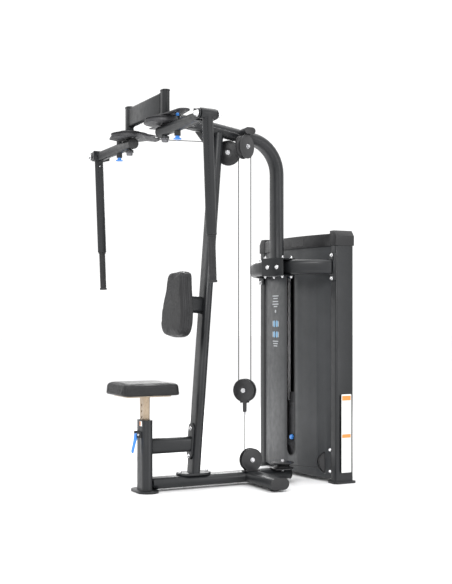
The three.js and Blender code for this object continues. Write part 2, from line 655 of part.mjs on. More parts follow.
// The bow's centre line, from the far upright to the near one. Its near part is the tighter arc.
function bowPath() {
  const [toNear, toJoin] = [Math.asin((uprightX(1) - BOW.x) / BOW.radius), -BOW.turn];
  const centre = vec(BOW.x, BOW.y, BOW.z);
  const near = arc(centre, BOW.radius, toJoin - Math.PI / 2, toNear - Math.PI / 2, 10, X_AXIS, Y_AXIS);
  const inward = centre.clone().sub(near[0]).normalize();
  const farCentre = near[0].clone().addScaledVector(inward, BOW.farRadius);
  const toFar = Math.asin((uprightX(-1) - farCentre.x) / BOW.farRadius);
  const far = arc(farCentre, BOW.farRadius, toFar - Math.PI / 2, toJoin - Math.PI / 2, 5, X_AXIS, Y_AXIS);
  return [...far.slice(0, -1), ...near];
}

function bowTube() {
  const endY = TOWER.front - GAP;
  const path = bowPath();
  const tube = sweep(obround(BOW.height, BOW.thickness), path);
  const plates = [-1, 1].map((s) => box(56, 9, 150, vec(uprightX(s), endY - 4.5, BOW.z)));
  const stubs = [path[0], path[path.length - 1]].map((end) => bar(obround(BOW.thickness, BOW.height),
    endY - end.y + 4, vec(end.x, end.y - 4, BOW.z), X_AXIS, Y_AXIS));
  const behind = box(1300, 200, 300, vec(BOW.x, endY + 100, BOW.z));
  return cut(join(tube, ...plates, ...stubs), behind);
}

// The saddle that clamps the leg's foot over the bow tube, turned to lie along it.
function legSaddle() {
  const top = BOW.z + BOW.height / 2 + GAP;
  const bottom = BOW.z - BOW.height / 2 - GAP;
  const along = vec(Math.cos(SADDLE.turn), Math.sin(SADDLE.turn), 0);
  const back = vec(-along.y, along.x, 0);
  const front = vec(0, LEG.y, 0).addScaledVector(back, -SADDLE.ahead);
  const middle = front.clone().addScaledVector(back, SADDLE.depth / 2);
  const plan = roundedRect(SADDLE.width, SADDLE.depth, 6);
  const shelf = bar(plan, LEG.bottom + 1 - top, middle.clone().setZ(top), along, Z_AXIS, 2);
  const under = bar(plan, 7, middle.clone().setZ(bottom - 7), along, Z_AXIS, 2);
  const height = top - bottom + 14;
  const faceMiddle = front.clone().setZ((top + bottom) / 2 + 1);
  const face = bar(roundedRect(SADDLE.width, height, 5), 8, faceMiddle, along, back, 2);
  return join(shelf, face, under);
}

add('bow_tube', bowTube(), 'frame');

// ---------------------------------------------------------------- weight stack

// A run of plates with a groove at each joint.
function plates(bottom, count) {
  const [half, groove] = [STACK.width / 2, 1.6];
  const side = [];
  for (let i = 0; i < count; i += 1) {
    const z = bottom + i * STACK.plate;
    side.push([half - groove, z], [half - groove, z + 1], [half, z + 2.5], [half, z + STACK.plate - 2.5],
      [half - groove, z + STACK.plate - 1]);
  }
  side.push([half - groove, bottom + count * STACK.plate]);
  const section = outline([...side, ...side.slice().reverse().map(([x, z]) => [-x, z])]);
  const back = vec(SLOT.x, STACK.y + STACK.depth / 2, 0);
  const block = bar(section, STACK.depth, back, X_AXIS, Y_AXIS.clone().negate());
  const top = bottom + count * STACK.plate;
  const holes = [-1, 1].map((s) => rod(RODS.radius + 1, rodAt(s, bottom - 5), rodAt(s, top + 5), 16));
  const middle = rod(SELECTOR.bore, vec(SLOT.x, STACK.y, bottom - 5), vec(SLOT.x, STACK.y, top + 5), 16);
  return cut(block, ...holes, middle);
}

const splitZ = STACK.bottom + STACK.lower * STACK.plate;
const stackTop = splitZ + STACK.upper * STACK.plate;
const pinZ = splitZ + STACK.plate / 2;
const stackFront = STACK.y - STACK.depth / 2;
const headTop = stackTop + GAP + STACK.head + BOSS.height + 14;

function lowerPlates() {
  const slice = box(STACK.width + 20, STACK.depth + 20, 1, vec(SLOT.x, STACK.y, splitZ));
  return cut(plates(STACK.bottom, STACK.lower), slice);
}

function upperPlates() {
  const pinBore = rod(5.5, vec(SLOT.x, stackFront - 5, pinZ), vec(SLOT.x, STACK.y, pinZ), 12);
  return cut(plates(splitZ, STACK.upper), pinBore);
}

// The head plate, with the selector rod that runs down through the plates.
function headPlate() {
  const bottom = stackTop + GAP;
  const block = box(STACK.width, STACK.depth, STACK.head, vec(SLOT.x, STACK.y, bottom + STACK.head / 2));
  const bossMiddle = bottom + STACK.head + BOSS.height / 2;
  const boss = box(BOSS.width, BOSS.depth, BOSS.height + 2, vec(SLOT.x, STACK.y, bossMiddle - 1));
  const at = (z) => vec(SLOT.x, STACK.y, z);
  const selector = rod(SELECTOR.radius, at(STACK.bottom + 20), at(headTop), 16);
  const rods = [-1, 1].map((s) => rod(RODS.radius + 1, rodAt(s, bottom - 5), rodAt(s, bottom + 60), 16));
  const pinBore = rod(5.5, vec(SLOT.x, stackFront - 5, pinZ), vec(SLOT.x, STACK.y + 20, pinZ), 12);
  return cut(join(block, boss, selector), ...rods, pinBore);
}

function selectorPin() {
  const at = (y) => vec(SLOT.x, y, pinZ);
  const shank = rod(5, at(stackFront - 4), at(STACK.y + 6), 12);
  const profile = [[0, 0], [10, 0], [15, 4], [15, 12], [11, 18], [0, 18]];
  const knob = turned(profile, at(stackFront - 2), vec(0, -1, 0), 20);
  return join(shank, knob);
}

add('plates_lower', lowerPlates(), 'iron');
add('plates_upper', upperPlates(), 'iron');
add('head_plate', headPlate(), 'iron');
add('selector_pin', selectorPin(), 'blue');

// ---------------------------------------------------------------- pulleys

// A wheel with a V groove, on a bore.
function wheel(size, centre, axis) {
  const half = size.width / 2;
  return turned([[size.bore, -half], [size.rim, -half], [size.pitch - 5, 0], [size.rim, half],
    [size.bore, half],
    [size.bore, -half]], centre, axis, 22);
}

// Two guard discs with the axle between them.
function guards(size, radius, centre, axis) {
  const inner = size.width / 2 + GUARD.clear;
  const outer = inner + GUARD.plate;
  const at = (distance) => centre.clone().addScaledVector(axis, distance);
  const discs = [-1, 1].map((s) => rod(radius, at(s * inner), at(s * outer), 20));
  return join(...discs, rod(size.axle, at(-outer - 6), at(outer + 6), 12));
}

const farDrum = vec(-HEAD.halfSpan, HEAD.y, CAM.groove);
const nearDrum = vec(HEAD.halfSpan, HEAD.y, CAM.groove);

// A top pulley turned to face its drum: its wheel centre, the way the cable comes, and its axis.
function topPulley(drum, exitX, exitY, height) {
  const exit = vec(exitX, exitY, 0);
  const toDrum = vec(drum.x, drum.y, 0).sub(exit);
  const swing = Math.asin((CAM.drum + CABLE.radius) / toDrum.length()) * Math.sign(drum.x);
  const along = toDrum.clone().normalize().applyAxisAngle(Z_AXIS, swing).negate();
  const centre = exit.clone().addScaledVector(along, -TOP_WHEEL.pitch).setZ(height);
  return { centre, along, axis: vec(along.y, -along.x, 0), exit: exit.setZ(height) };
}

const pulleyFront = topPulley(farDrum, RUN.frontX, RUN.frontY, 1825);
const pulleyBack = topPulley(nearDrum, RUN.backX, RUN.backY, 1846);

// The cable from a drum's outer side over its top pulley, ending where it turns straight down.
function drumCable(drum, pulley) {
  const outward = pulley.axis.clone().multiplyScalar(drum.x < 0 ? -1 : 1);
  const grip = CAM.drum + CABLE.radius + GAP;
  const start = vec(drum.x, drum.y, 0).addScaledVector(outward, grip).setZ(CAM.groove);
  const local = start.clone().sub(pulley.centre);
  const [s, h] = [local.dot(pulley.along), local.z];
  const touch = Math.atan2(h, s) - Math.acos(TOP_WHEEL.pitch / Math.hypot(s, h));
  const bend = arc(pulley.centre, TOP_WHEEL.pitch, touch, 0, 8, pulley.along, Z_AXIS);
  return cable([start, ...bend]);
}

// Each top pulley hangs by two straps that rise from its guard discs.
function topBracket(pulley, radius, top) {
  const inner = TOP_WHEEL.width / 2 + GUARD.clear + GUARD.plate / 2;
  const straps = [-1, 1].map((s) => bar(roundedRect(50, GUARD.plate, 1), top - pulley.centre.z,
    pulley.centre.clone().addScaledVector(pulley.axis, s * inner), pulley.along, Z_AXIS, 1));
  return join(guards(TOP_WHEEL, radius, pulley.centre, pulley.axis), ...straps);
}

add('top_wheel_front', wheel(TOP_WHEEL, pulleyFront.centre, pulleyFront.axis), 'plastic');
add('top_wheel_back', wheel(TOP_WHEEL, pulleyBack.centre, pulleyBack.axis), 'plastic');
add('top_bracket_front', topBracket(pulleyFront, 66, 1889), 'frame');
add('top_bracket_back', topBracket(pulleyBack, 64, STUB.z - 18 - GAP), 'frame');
add('cable_far_arm', drumCable(farDrum, pulleyFront), 'cable');
add('cable_near_arm', drumCable(nearDrum, pulleyBack), 'cable');

// ---------------------------------------------------------------- floating pulley and its runs

const floatCentre = vec((RUN.frontX + RUN.backX) / 2, (RUN.frontY + RUN.backY) / 2, FLOATING_Z);
const floatAlong = vec(RUN.backX - RUN.frontX, RUN.backY - RUN.frontY, 0);
const floatPitch = floatAlong.length() / 2;
floatAlong.normalize();
const floatAxis = vec(floatAlong.y, -floatAlong.x, 0);
const FLOAT_WHEEL = { ...WHEEL, pitch: floatPitch };
const tailBottom = FLOATING_Z - 118;

// Guard discs, with a yoke under them that the lower cable hangs from.
function floatingBlock() {
  const at = (z) => floatCentre.clone().setZ(z);
  const bridge = bar(roundedRect(40, 36, 2), 14, at(tailBottom + 50), floatAlong, Z_AXIS, 1);
  const tail = rod(11, at(tailBottom), at(tailBottom + 52), 16);
  const inner = WHEEL.width / 2 + GUARD.clear + GUARD.plate / 2;
  const cheeks = [-1, 1].map((s) => bar(roundedRect(40, GUARD.plate, 1), 30,
    at(tailBottom + 50).addScaledVector(floatAxis, s * inner), floatAlong, Z_AXIS, 1));
  return join(guards(FLOAT_WHEEL, 62, floatCentre, floatAxis), bridge, tail, ...cheeks);
}

// Half a turn of cable under the floating wheel, from the front run to the back run.
function floatingWrap() {
  return cable(arc(floatCentre, floatPitch, Math.PI, Math.PI * 2, 12, floatAlong, Z_AXIS));
}

function verticalRun(x, y, from, to) {
  return cable([vec(x, y, from), vec(x, y, to)]);
}

add('floating_wheel', wheel(FLOAT_WHEEL, floatCentre, floatAxis), 'plastic');
add('floating_block', floatingBlock(), 'plastic');
add('cable_float_wrap', floatingWrap(), 'cable');
const runTop = pulleyFront.exit.z - GAP;
add('cable_run_front', verticalRun(RUN.frontX, RUN.frontY, FLOATING_Z + GAP, runTop), 'cable');
add('cable_run_back', verticalRun(RUN.backX, RUN.backY, FLOATING_Z + GAP, pulleyBack.exit.z - GAP), 'cable');

// ---------------------------------------------------------------- low pulleys and the cable to the tower

const lowCentre = vec(floatCentre.x, floatCentre.y + WHEEL.pitch, LOW.z);
const flatCentre = vec(lowCentre.x + FLAT.radius, FLAT.y, LOW.z - WHEEL.pitch);
const towerLowCentre = vec(TOWER_LOW.x, TOWER_LOW.y, TOWER_LOW.z);
const baseTop = BASE.bottom + BASE.height + GAP;

// The way the cable leaves the flat pulley for the tower.
const leaving = (() => {
  const toTower = vec(TOWER_LOW.x - flatCentre.x, TOWER_LOW.y - flatCentre.y, 0);
  const turn = Math.asin(FLAT.radius / toTower.length());
  return toTower.normalize().applyAxisAngle(Z_AXIS, -turn);
})();
const towerLowAxis = vec(leaving.y, -leaving.x, 0);
const towerRise = towerLowCentre.clone().addScaledVector(leaving, WHEEL.pitch);

// Two ears down from the guard discs to a plate on the floor tube.
function lowBracket() {
  const inner = WHEEL.width / 2 + GUARD.clear + GUARD.plate / 2;
  const ears = [-1, 1].map((s) => box(GUARD.plate, 70, 60,
    vec(lowCentre.x + s * inner, lowCentre.y, baseTop + 30)));
  const plate = box(2 * inner + GUARD.plate, 96, 6, vec(lowCentre.x, lowCentre.y, baseTop + 3));
  return join(guards(WHEEL, 62, lowCentre, X_AXIS), ...ears, plate);
}

function flatBracket() {
  const lowest = flatCentre.z - WHEEL.width / 2 - GUARD.clear - GUARD.plate;
  const seatMiddle = vec(flatCentre.x - 20, FLAT.y - 6, (lowest + 1 + baseTop) / 2);
  const seat = box(70, 90, lowest + 1 - baseTop, seatMiddle);
  return join(guards(WHEEL, 60, flatCentre, Z_AXIS), seat);
}

function towerLowBracket() {
  const block = box(36, 30, 50, vec(innerNear - 18, TOWER_LOW.y - 10, TOWER_LOW.z));
  return join(guards(WHEEL, TOWER_LOW.guard, towerLowCentre, towerLowAxis), block);
}

// Down the front of the low pulley, under it, round the flat pulley, and up the tower's foot pulley.
function lowCablePath() {
  const under = arc(lowCentre, WHEEL.pitch, Math.PI, Math.PI * 1.5, 8, Y_AXIS, Z_AXIS);
  const turn = Math.atan2(leaving.y, leaving.x);
  const around = arc(flatCentre, FLAT.radius, Math.PI, turn + Math.PI / 2, 4, X_AXIS, Y_AXIS);
  const last = around[around.length - 1].clone().sub(towerLowCentre);
  const [s, h] = [last.dot(leaving), last.z];
  const touch = Math.atan2(h, s) + Math.acos(WHEEL.pitch / Math.hypot(s, h));
  const lift = touch < 0 ? touch + Math.PI * 2 : touch;
  const up = arc(towerLowCentre, WHEEL.pitch, lift, Math.PI * 2, 8, leaving, Z_AXIS);
  return [...under, ...around, ...up];
}

add('low_wheel', wheel(WHEEL, lowCentre, X_AXIS), 'plastic');
add('flat_wheel', wheel(WHEEL, flatCentre, Z_AXIS), 'plastic');
add('tower_low_wheel', wheel(WHEEL, towerLowCentre, towerLowAxis), 'plastic');
add('front_panel', frontPanel(), 'panel');
add('low_bracket', lowBracket(), 'plastic');
add('flat_bracket', flatBracket(), 'plastic');
add('tower_low_bracket', towerLowBracket(), 'plastic');
add('cable_low_run', verticalRun(floatCentre.x, floatCentre.y, LOW.z + GAP, tailBottom - GAP), 'cable');
add('cable_floor', cable(lowCablePath()), 'cable');

// ---------------------------------------------------------------- cable over the top of the tower

const stackTie = vec(SLOT.x, STACK.y, 0);
const across = stackTie.clone().sub(towerRise.clone().setZ(0)).normalize();
const acrossAxis = vec(across.y, -across.x, 0);
const topNear = towerRise.clone().setZ(TOWER_TOP.z).addScaledVector(across, WHEEL.pitch);
const topFar = stackTie.clone().setZ(TOWER_TOP.z).addScaledVector(across, -WHEEL.pitch);

// Two side plates that carry both wheels, standing on the tower's top rail.
function topCarrier() {
  const inner = WHEEL.width / 2 + GUARD.clear;
  const length = topNear.distanceTo(topFar) + 2 * 24;
  const start = topNear.clone().addScaledVector(across, -24).setZ(TOWER_TOP.z - 16);
  const sides = [-1, 1].map((s) => {
    const corner = start.clone().addScaledVector(acrossAxis, s * (inner + GUARD.plate / 2));
    return bar(roundedRect(GUARD.plate, 70, 2), length, corner, acrossAxis, across, 2);
  });
  const axles = [topNear, topFar].map((centre) => {
    const reach = acrossAxis.clone().multiplyScalar(inner + GUARD.plate + 4);
    return rod(WHEEL.axle, centre.clone().sub(reach), centre.clone().add(reach), 16);
  });
  return join(towerTop(), ...sides, ...axles);
}

function towerCable() {
  const first = towerRise.clone();
  const up = arc(topNear, WHEEL.pitch, Math.PI, Math.PI / 2, 6, across, Z_AXIS);
  const down = arc(topFar, WHEEL.pitch, Math.PI / 2, 0, 6, across, Z_AXIS);
  return cable([first.setZ(TOWER_LOW.z + GAP), ...up, ...down]);
}

add('tower_top_wheel_near', wheel(WHEEL, topNear, acrossAxis), 'plastic');
add('tower_top_wheel_far', wheel(WHEEL, topFar, acrossAxis), 'plastic');
add('tower_top_rail', topCarrier(), 'frame');
add('cable_tower', towerCable(), 'cable');
add('cable_stack_run', verticalRun(SLOT.x, STACK.y, headTop + GAP, TOWER_TOP.z - GAP), 'cable');

export default machine;
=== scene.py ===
"""Looks for the pin-loaded pec fly machine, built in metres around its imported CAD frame."""
import json
import math

import bmesh
import bpy
import numpy as np
from mathutils import Matrix, Vector, noise
from mathutils.bvhtree import BVHTree


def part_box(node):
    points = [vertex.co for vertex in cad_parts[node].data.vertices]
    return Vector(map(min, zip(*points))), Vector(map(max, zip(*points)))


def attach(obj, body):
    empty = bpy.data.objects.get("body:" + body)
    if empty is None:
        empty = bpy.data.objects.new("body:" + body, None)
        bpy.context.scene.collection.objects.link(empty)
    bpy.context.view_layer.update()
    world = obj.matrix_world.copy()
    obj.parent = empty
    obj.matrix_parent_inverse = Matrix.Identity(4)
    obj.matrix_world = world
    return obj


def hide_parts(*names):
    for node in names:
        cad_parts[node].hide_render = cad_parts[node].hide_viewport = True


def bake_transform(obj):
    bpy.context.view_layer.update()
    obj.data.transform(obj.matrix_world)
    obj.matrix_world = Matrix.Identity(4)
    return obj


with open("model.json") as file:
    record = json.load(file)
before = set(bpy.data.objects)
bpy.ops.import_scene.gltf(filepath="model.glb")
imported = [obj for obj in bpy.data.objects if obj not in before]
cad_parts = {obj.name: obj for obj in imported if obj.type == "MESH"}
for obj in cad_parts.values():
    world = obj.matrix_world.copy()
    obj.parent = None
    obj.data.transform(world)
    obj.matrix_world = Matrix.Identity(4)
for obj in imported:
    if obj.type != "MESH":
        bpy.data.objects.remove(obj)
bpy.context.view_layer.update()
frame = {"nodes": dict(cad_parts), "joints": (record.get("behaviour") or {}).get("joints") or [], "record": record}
NODES = frame["nodes"]

X, Y, Z = Vector((1, 0, 0)), Vector((0, 1, 0)), Vector((0, 0, 1))
MM = 0.001
SIDES = (("near", 1), ("far", -1))
HINGE_X, PIVOT_X = 741, 245

SEAT_POST_Y = sum(corner.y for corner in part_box("seat_post")) / 2


def at(x, y, z):
    """A point given in millimetres from the foot of the seat post."""
    return Vector((x * MM, SEAT_POST_Y + y * MM, z * MM))


# ------------------------------------------------------------------ materials

class Tree:
    """A material whose nodes are wired by short calls."""

    def __init__(self, name, colour, roughness, metallic=0.0, **constants):
        self.material = bpy.data.materials.new(name)
        self.material.use_nodes = True
        self.nodes = self.material.node_tree.nodes
        self.links = self.material.node_tree.links
        self.shader = self.nodes["Principled BSDF"]
        self.set(self.shader, **{"Base Color": (*colour, 1), "Roughness": roughness,
                                 "Metallic": metallic})
        self.set(self.shader, **{k.replace("_", " "): v for k, v in constants.items()})
        self.where = self.nodes.new("ShaderNodeTexCoord").outputs["Object"]

    @staticmethod
    def set(node, **values):
        for name, value in values.items():
            node.inputs[name].default_value = value

    def add(self, kind, links=None, **values):
        node = self.nodes.new(kind)
        self.set(node, **values)
        for name, output in (links or {}).items():
            self.links.new(output, node.inputs[name])
        return node

    def noise(self, scale, detail=3.0, roughness=0.5):
        node = self.add("ShaderNodeTexNoise", {"Vector": self.where})
        self.set(node, Scale=scale, Detail=detail, Roughness=roughness)
        return node.outputs["Fac"]

    def cells(self, scale, feature="DISTANCE_TO_EDGE"):
        """Voronoi cells, wavy enough that they don't look ruled."""
        wobble = self.add("ShaderNodeTexNoise", {"Vector": self.where}, Scale=scale * 0.6)
        mixed = self.add("ShaderNodeMix", Factor=0.0022)
        mixed.data_type = "VECTOR"
        mixed.inputs["Factor"].default_value = 0.0022
        self.links.new(self.where, mixed.inputs[4])
        self.links.new(wobble.outputs["Color"], mixed.inputs[5])
        node = self.add("ShaderNodeTexVoronoi", {"Vector": mixed.outputs[1]}, Scale=scale)
        node.feature = feature
        return node.outputs["Distance"]

    def ramp(self, source, *stops):
        """A colour ramp over (position, value or colour) stops."""
        node = self.add("ShaderNodeValToRGB", {"Fac": source})
        elements = node.color_ramp.elements
        while len(elements) < len(stops):
            elements.new(0.5)
        for element, (position, value) in zip(elements, stops):
            colour = value if isinstance(value, tuple) else (value, value, value)
            element.position = position
            element.color = (*colour, 1)
        return node.outputs["Color"]

    def colour(self, source, *stops):
        self.links.new(self.ramp(source, *stops), self.shader.inputs["Base Color"])

    def rough(self, source, low, high, start=0.35, end=0.65):
        self.links.new(self.ramp(source, (start, low), (end, high)),
                       self.shader.inputs["Roughness"])

    def bump(self, *layers):
        """Bump layers as (height, strength, distance in metres), the coarsest first."""
        previous = None
        for height, strength, distance in layers:
            node = self.add("ShaderNodeBump", {"Height": height}, Strength=strength,
                            Distance=distance)
            if previous:
                self.links.new(previous, node.inputs["Normal"])
            previous = node.outputs["Normal"]
        self.links.new(previous, self.shader.inputs["Normal"])


def powder_coat(name, dark, light, roughness, grain=1400):
    """Satin powder coat: a fine orange peel with slow changes of tone and gloss."""
    tree = Tree(name, light, roughness, Specular_IOR_Level=0.38)
    tree.colour(tree.noise(5, 4), (0.3, dark), (0.7, light))
    tree.rough(tree.noise(26, 4), roughness - 0.05, roughness + 0.06)
    tree.bump((tree.noise(260, 2), 0.10, 0.0004), (tree.noise(grain, 2), 0.22, 0.0002))
    return tree.material


def moulded(name, dark, light, roughness, grain=1900, strength=0.25):
    """Moulded plastic or rubber with a spark-eroded texture."""
    tree = Tree(name, light, roughness)
    tree.colour(tree.noise(9, 3), (0.3, dark), (0.7, light))
    tree.rough(tree.noise(40, 3), roughness - 0.06, roughness + 0.07)
    tree.bump((tree.noise(grain, 3), strength, 0.0002))
    return tree.material


def bright_metal(name, dark, light, roughness, stretch=1.0, metallic=1.0):
    """Polished or drawn steel, with faint draw lines along Z where stretch is above 1."""
    tree = Tree(name, light, roughness, metallic=metallic)
    mapping = tree.add("ShaderNodeMapping", {"Vector": tree.where})
    mapping.inputs["Scale"].default_value = (stretch, stretch, 1.0)
    lines = tree.add("ShaderNodeTexNoise", {"Vector": mapping.outputs["Vector"]}, Scale=60,
                     Detail=5)
    tree.colour(tree.noise(14, 3), (0.3, dark), (0.7, light))
    tree.rough(lines.outputs["Fac"], roughness * 0.7, roughness * 1.5)
    tree.bump((lines.outputs["Fac"], 0.05, 0.0003))
    return tree.material


def vinyl(name):
    """Black upholstery vinyl: pebbled grain with creases between the pebbles."""
    tree = Tree(name, (0.021, 0.021, 0.023), 0.5, Specular_IOR_Level=0.32)
    grain = tree.ramp(tree.cells(520), (0.0, 0.0), (0.16, 0.8), (0.5, 1.0))
    tree.colour(tree.noise(18, 4), (0.3, (0.010, 0.010, 0.011)), (0.7, (0.018, 0.018, 0.019)))
    tree.rough(tree.noise(90, 4), 0.42, 0.58)
    tree.bump((tree.noise(30, 3), 0.12, 0.002), (grain, 0.34, 0.0005))
    return tree.material


def cast_iron(name):
    tree = Tree(name, (0.03, 0.03, 0.033), 0.55, metallic=0.2)
    tree.colour(tree.noise(30, 5), (0.3, (0.020, 0.020, 0.022)), (0.7, (0.040, 0.040, 0.044)))
    tree.rough(tree.noise(70, 4), 0.45, 0.62)
    tree.bump((tree.noise(320, 4), 0.3, 0.0006))
    return tree.material


def sheath(name):
    """Nylon-coated wire rope: the lay of the strands shows faintly through the coat."""
    tree = Tree(name, (0.014, 0.014, 0.015), 0.32)
    wave = tree.add("ShaderNodeTexWave", {"Vector": tree.where}, Scale=240, Distortion=0.4)
    wave.bands_direction = "DIAGONAL"
    tree.colour(tree.noise(50, 2), (0.3, (0.011, 0.011, 0.012)), (0.7, (0.020, 0.020, 0.022)))
    tree.bump((wave.outputs["Fac"], 0.15, 0.0003))
    return tree.material


def printed(name, colour, roughness=0.35):
    """Printed label film with a slightly uneven gloss."""
    tree = Tree(name, colour, roughness)
    shade = tuple(0.93 * c for c in colour)
    tree.colour(tree.noise(35, 3), (0.3, shade), (0.7, colour))
    tree.bump((tree.noise(500, 2), 0.06, 0.0002))
    return tree.material


FRAME_PAINT = powder_coat("frame_paint", (0.010, 0.011, 0.012), (0.016, 0.017, 0.019), 0.36)
PANEL_PAINT = powder_coat("panel_steel", (0.026, 0.028, 0.030), (0.038, 0.040, 0.043), 0.40, 900)
BLACK_PLASTIC = moulded("black_plastic", (0.008, 0.008, 0.009), (0.013, 0.013, 0.014), 0.44)
PULLEY_PLASTIC = moulded("pulley_plastic", (0.012, 0.012, 0.013), (0.020, 0.020, 0.022), 0.34,
                         1500, 0.15)
GRIP_RUBBER = moulded("grip_rubber", (0.010, 0.010, 0.011), (0.018, 0.018, 0.019), 0.62, 2200, 0.4)
BLUE_PLASTIC = moulded("blue_plastic", (0.035, 0.20, 0.62), (0.055, 0.27, 0.74), 0.27, 1200, 0.08)
CHROME = bright_metal("chrome", (0.70, 0.70, 0.71), (0.80, 0.80, 0.81), 0.14)
ZINC = bright_metal("zinc", (0.58, 0.58, 0.60), (0.74, 0.74, 0.75), 0.24)
DARK_ZINC = bright_metal("dark_zinc", (0.10, 0.10, 0.11), (0.18, 0.18, 0.19), 0.32)
# Painted light: the guide rods are coloured near white and barely metallic, so their brightness stands in for the
# light the rods would catch inside the shaded tower.
ROD_PAINTED_BRIGHT = bright_metal("rod_painted_bright", (0.86, 0.86, 0.87), (0.93, 0.93, 0.94), 0.40, 1.0, 0.1)
POST_STEEL = bright_metal("post_steel", (0.36, 0.28, 0.20), (0.47, 0.38, 0.28), 0.36, 12.0, 0.6)
VINYL = vinyl("vinyl")
THREAD = moulded("thread", (0.05, 0.05, 0.055), (0.09, 0.09, 0.10), 0.7, 3000, 0.5)
IRON = cast_iron("black_iron")
SHEATH = sheath("cable_sheath")
LABEL_WHITE = printed("label_white", (0.80, 0.80, 0.79))
LABEL_ORANGE = printed("label_orange", (0.85, 0.27, 0.06))
LABEL_GREY = printed("label_grey", (0.42, 0.44, 0.46))
LABEL_BLUE = printed("label_blue", (0.16, 0.36, 0.56))
DARK_GLOSS = printed("dark_gloss", (0.012, 0.012, 0.014), 0.16)

BY_SLOT = {
    "frame_paint": FRAME_PAINT, "panel_steel": PANEL_PAINT, "black_iron": IRON,
    "black_plastic": BLACK_PLASTIC, "blue_plastic": BLUE_PLASTIC, "bright_steel": CHROME,
    "vinyl": VINYL, "grip_rubber": GRIP_RUBBER, "cable": SHEATH,
}


def paint_cad_nodes():
    """Gives each CAD node its slot's material, and rounds its sharp edges a little."""
    slot_of = {part["node"]: part["material_slot"] for part in frame["record"]["subparts"]}
    for name, node in NODES.items():
        node.data.materials.clear()
        node.data.materials.append(BY_SLOT[slot_of[name]])
        soften(node, 0.0009)
    NODES["seat_inner_post"].data.materials[0] = POST_STEEL
    for side, _ in SIDES:
        NODES["guide_rod_" + side].data.materials[0] = ROD_PAINTED_BRIGHT
    for name in ("floating_block", "low_bracket", "flat_bracket", "tower_low_bracket",
                 "top_bracket_front", "top_bracket_back"):
        NODES[name].data.materials[0] = PULLEY_PLASTIC


def soften(node, width):
    """Merges split corners, rounds sharp edges and shades the rest smooth."""
    node.data.polygons.foreach_set("use_smooth", [True] * len(node.data.polygons))
    weld = node.modifiers.new("weld", "WELD")
    weld.merge_threshold = 0.00001
    bevel = node.modifiers.new("round", "BEVEL")
    bevel.width = width
    bevel.segments = 2
    bevel.limit_method = "ANGLE"
    bevel.angle_limit = math.radians(35)
    bevel.use_clamp_overlap = False
    bevel.harden_normals = True


# ------------------------------------------------------------------ mesh helpers

def to_object(name, bm, material, body, smooth_angle=35):
    """Turns a bmesh into a piece that rides on a body."""
    bmesh.ops.recalc_face_normals(bm, faces=bm.faces)
    mesh = bpy.data.meshes.new(name)
    bm.to_mesh(mesh)
    bm.free()
    piece = bpy.data.objects.new(name, mesh)
    bpy.context.scene.collection.objects.link(piece)
    mesh.materials.append(material)
    mesh.polygons.foreach_set("use_smooth", [True] * len(mesh.polygons))
    mesh.set_sharp_from_angle(angle=math.radians(smooth_angle))
    if body:
        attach(piece, body)
    return piece


def basis(z_axis, x_axis=None):
    """A 3x3 whose columns are x, y and z, with z along z_axis."""
    z = Vector(z_axis).normalized()
    side = Vector(x_axis) if x_axis else (X if abs(z.x) < 0.9 else Z)
    y = z.cross(side).normalized()
    x = y.cross(z)
    return Matrix((x, y, z)).transposed()


def skin(bm, rings, close_ends=True, closed_loop=False):
    """Skins a list of equal rings of points with quads."""
    loops = [[bm.verts.new(point) for point in ring] for ring in rings]
    pairs = list(zip(loops, loops[1:]))
    if closed_loop:
        pairs.append((loops[-1], loops[0]))
    for low, high in pairs:
        count = len(low)
        for i in range(count):
            j = (i + 1) % count
            bm.faces.new((low[i], low[j], high[j], high[i]))
    if close_ends and not closed_loop:
        bm.faces.new(loops[0])
        bm.faces.new(loops[-1])
    return loops


def circle(radius, count, phase=0.0):
    return [(radius * math.cos(phase + math.tau * i / count),
             radius * math.sin(phase + math.tau * i / count)) for i in range(count)]


def lathe_into(bm, profile, origin, axis, count=32, phase=0.0):
    """Adds a turned solid from (radius, height) pairs along an axis."""
    turn = basis(axis)
    rings = []
    for radius, height in profile:
        rings.append([origin + turn @ Vector((x, y, height))
                      for x, y in circle(max(radius, 1e-5), count, phase)])
    skin(bm, rings)


def obround(width, height, steps=16):
    """Corner points of an obround centred on the origin."""
    r = min(width, height) / 2
    dx, dy = width / 2 - r, height / 2 - r
    points = []
    for i in range(4 * steps):
        angle = math.tau * (i + 0.5) / (4 * steps)
        c, s = math.cos(angle), math.sin(angle)
        points.append((r * c + math.copysign(dx, c), r * s + math.copysign(dy, s)))
    return points


def rounded(width, height, radius, steps=8):
    """Corner points of a rounded rectangle centred on the origin."""
    dx, dy = width / 2 - radius, height / 2 - radius
    points = []
    for quarter, (sx, sy) in enumerate(((1, 1), (-1, 1), (-1, -1), (1, -1))):
        for i in range(steps + 1):
            angle = math.pi / 2 * (quarter + i / steps)
            points.append((sx * dx + radius * math.cos(angle), sy * dy + radius * math.sin(angle)))
    return points


def inset(points, amount):
    """Moves each point of a convex outline inwards by about amount."""
    moved = []
    count = len(points)
    for i in range(count):
        (ax, ay), (bx, by) = points[i - 1], points[(i + 1) % count]
        nx, ny = ay - by, bx - ax
        length = math.hypot(nx, ny) or 1
        moved.append((points[i][0] + amount * nx / length, points[i][1] + amount * ny / length))
    return moved


def plate_into(bm, points, thickness, fillet, origin, axis, x_axis=None):
    """Adds a plate of the outline whose far edge is rounded by fillet."""
    turn = basis(axis, x_axis)
    layers = [(0, 0)]
    for i in range(4):
        angle = math.pi / 2 * i / 3
        layers.append((fillet * (1 - math.cos(angle)), thickness - fillet * (1 - math.sin(angle))))
    rings = [[origin + turn @ Vector((x, y, height)) for x, y in inset(points, amount)]
             for amount, height in layers]
    skin(bm, rings)


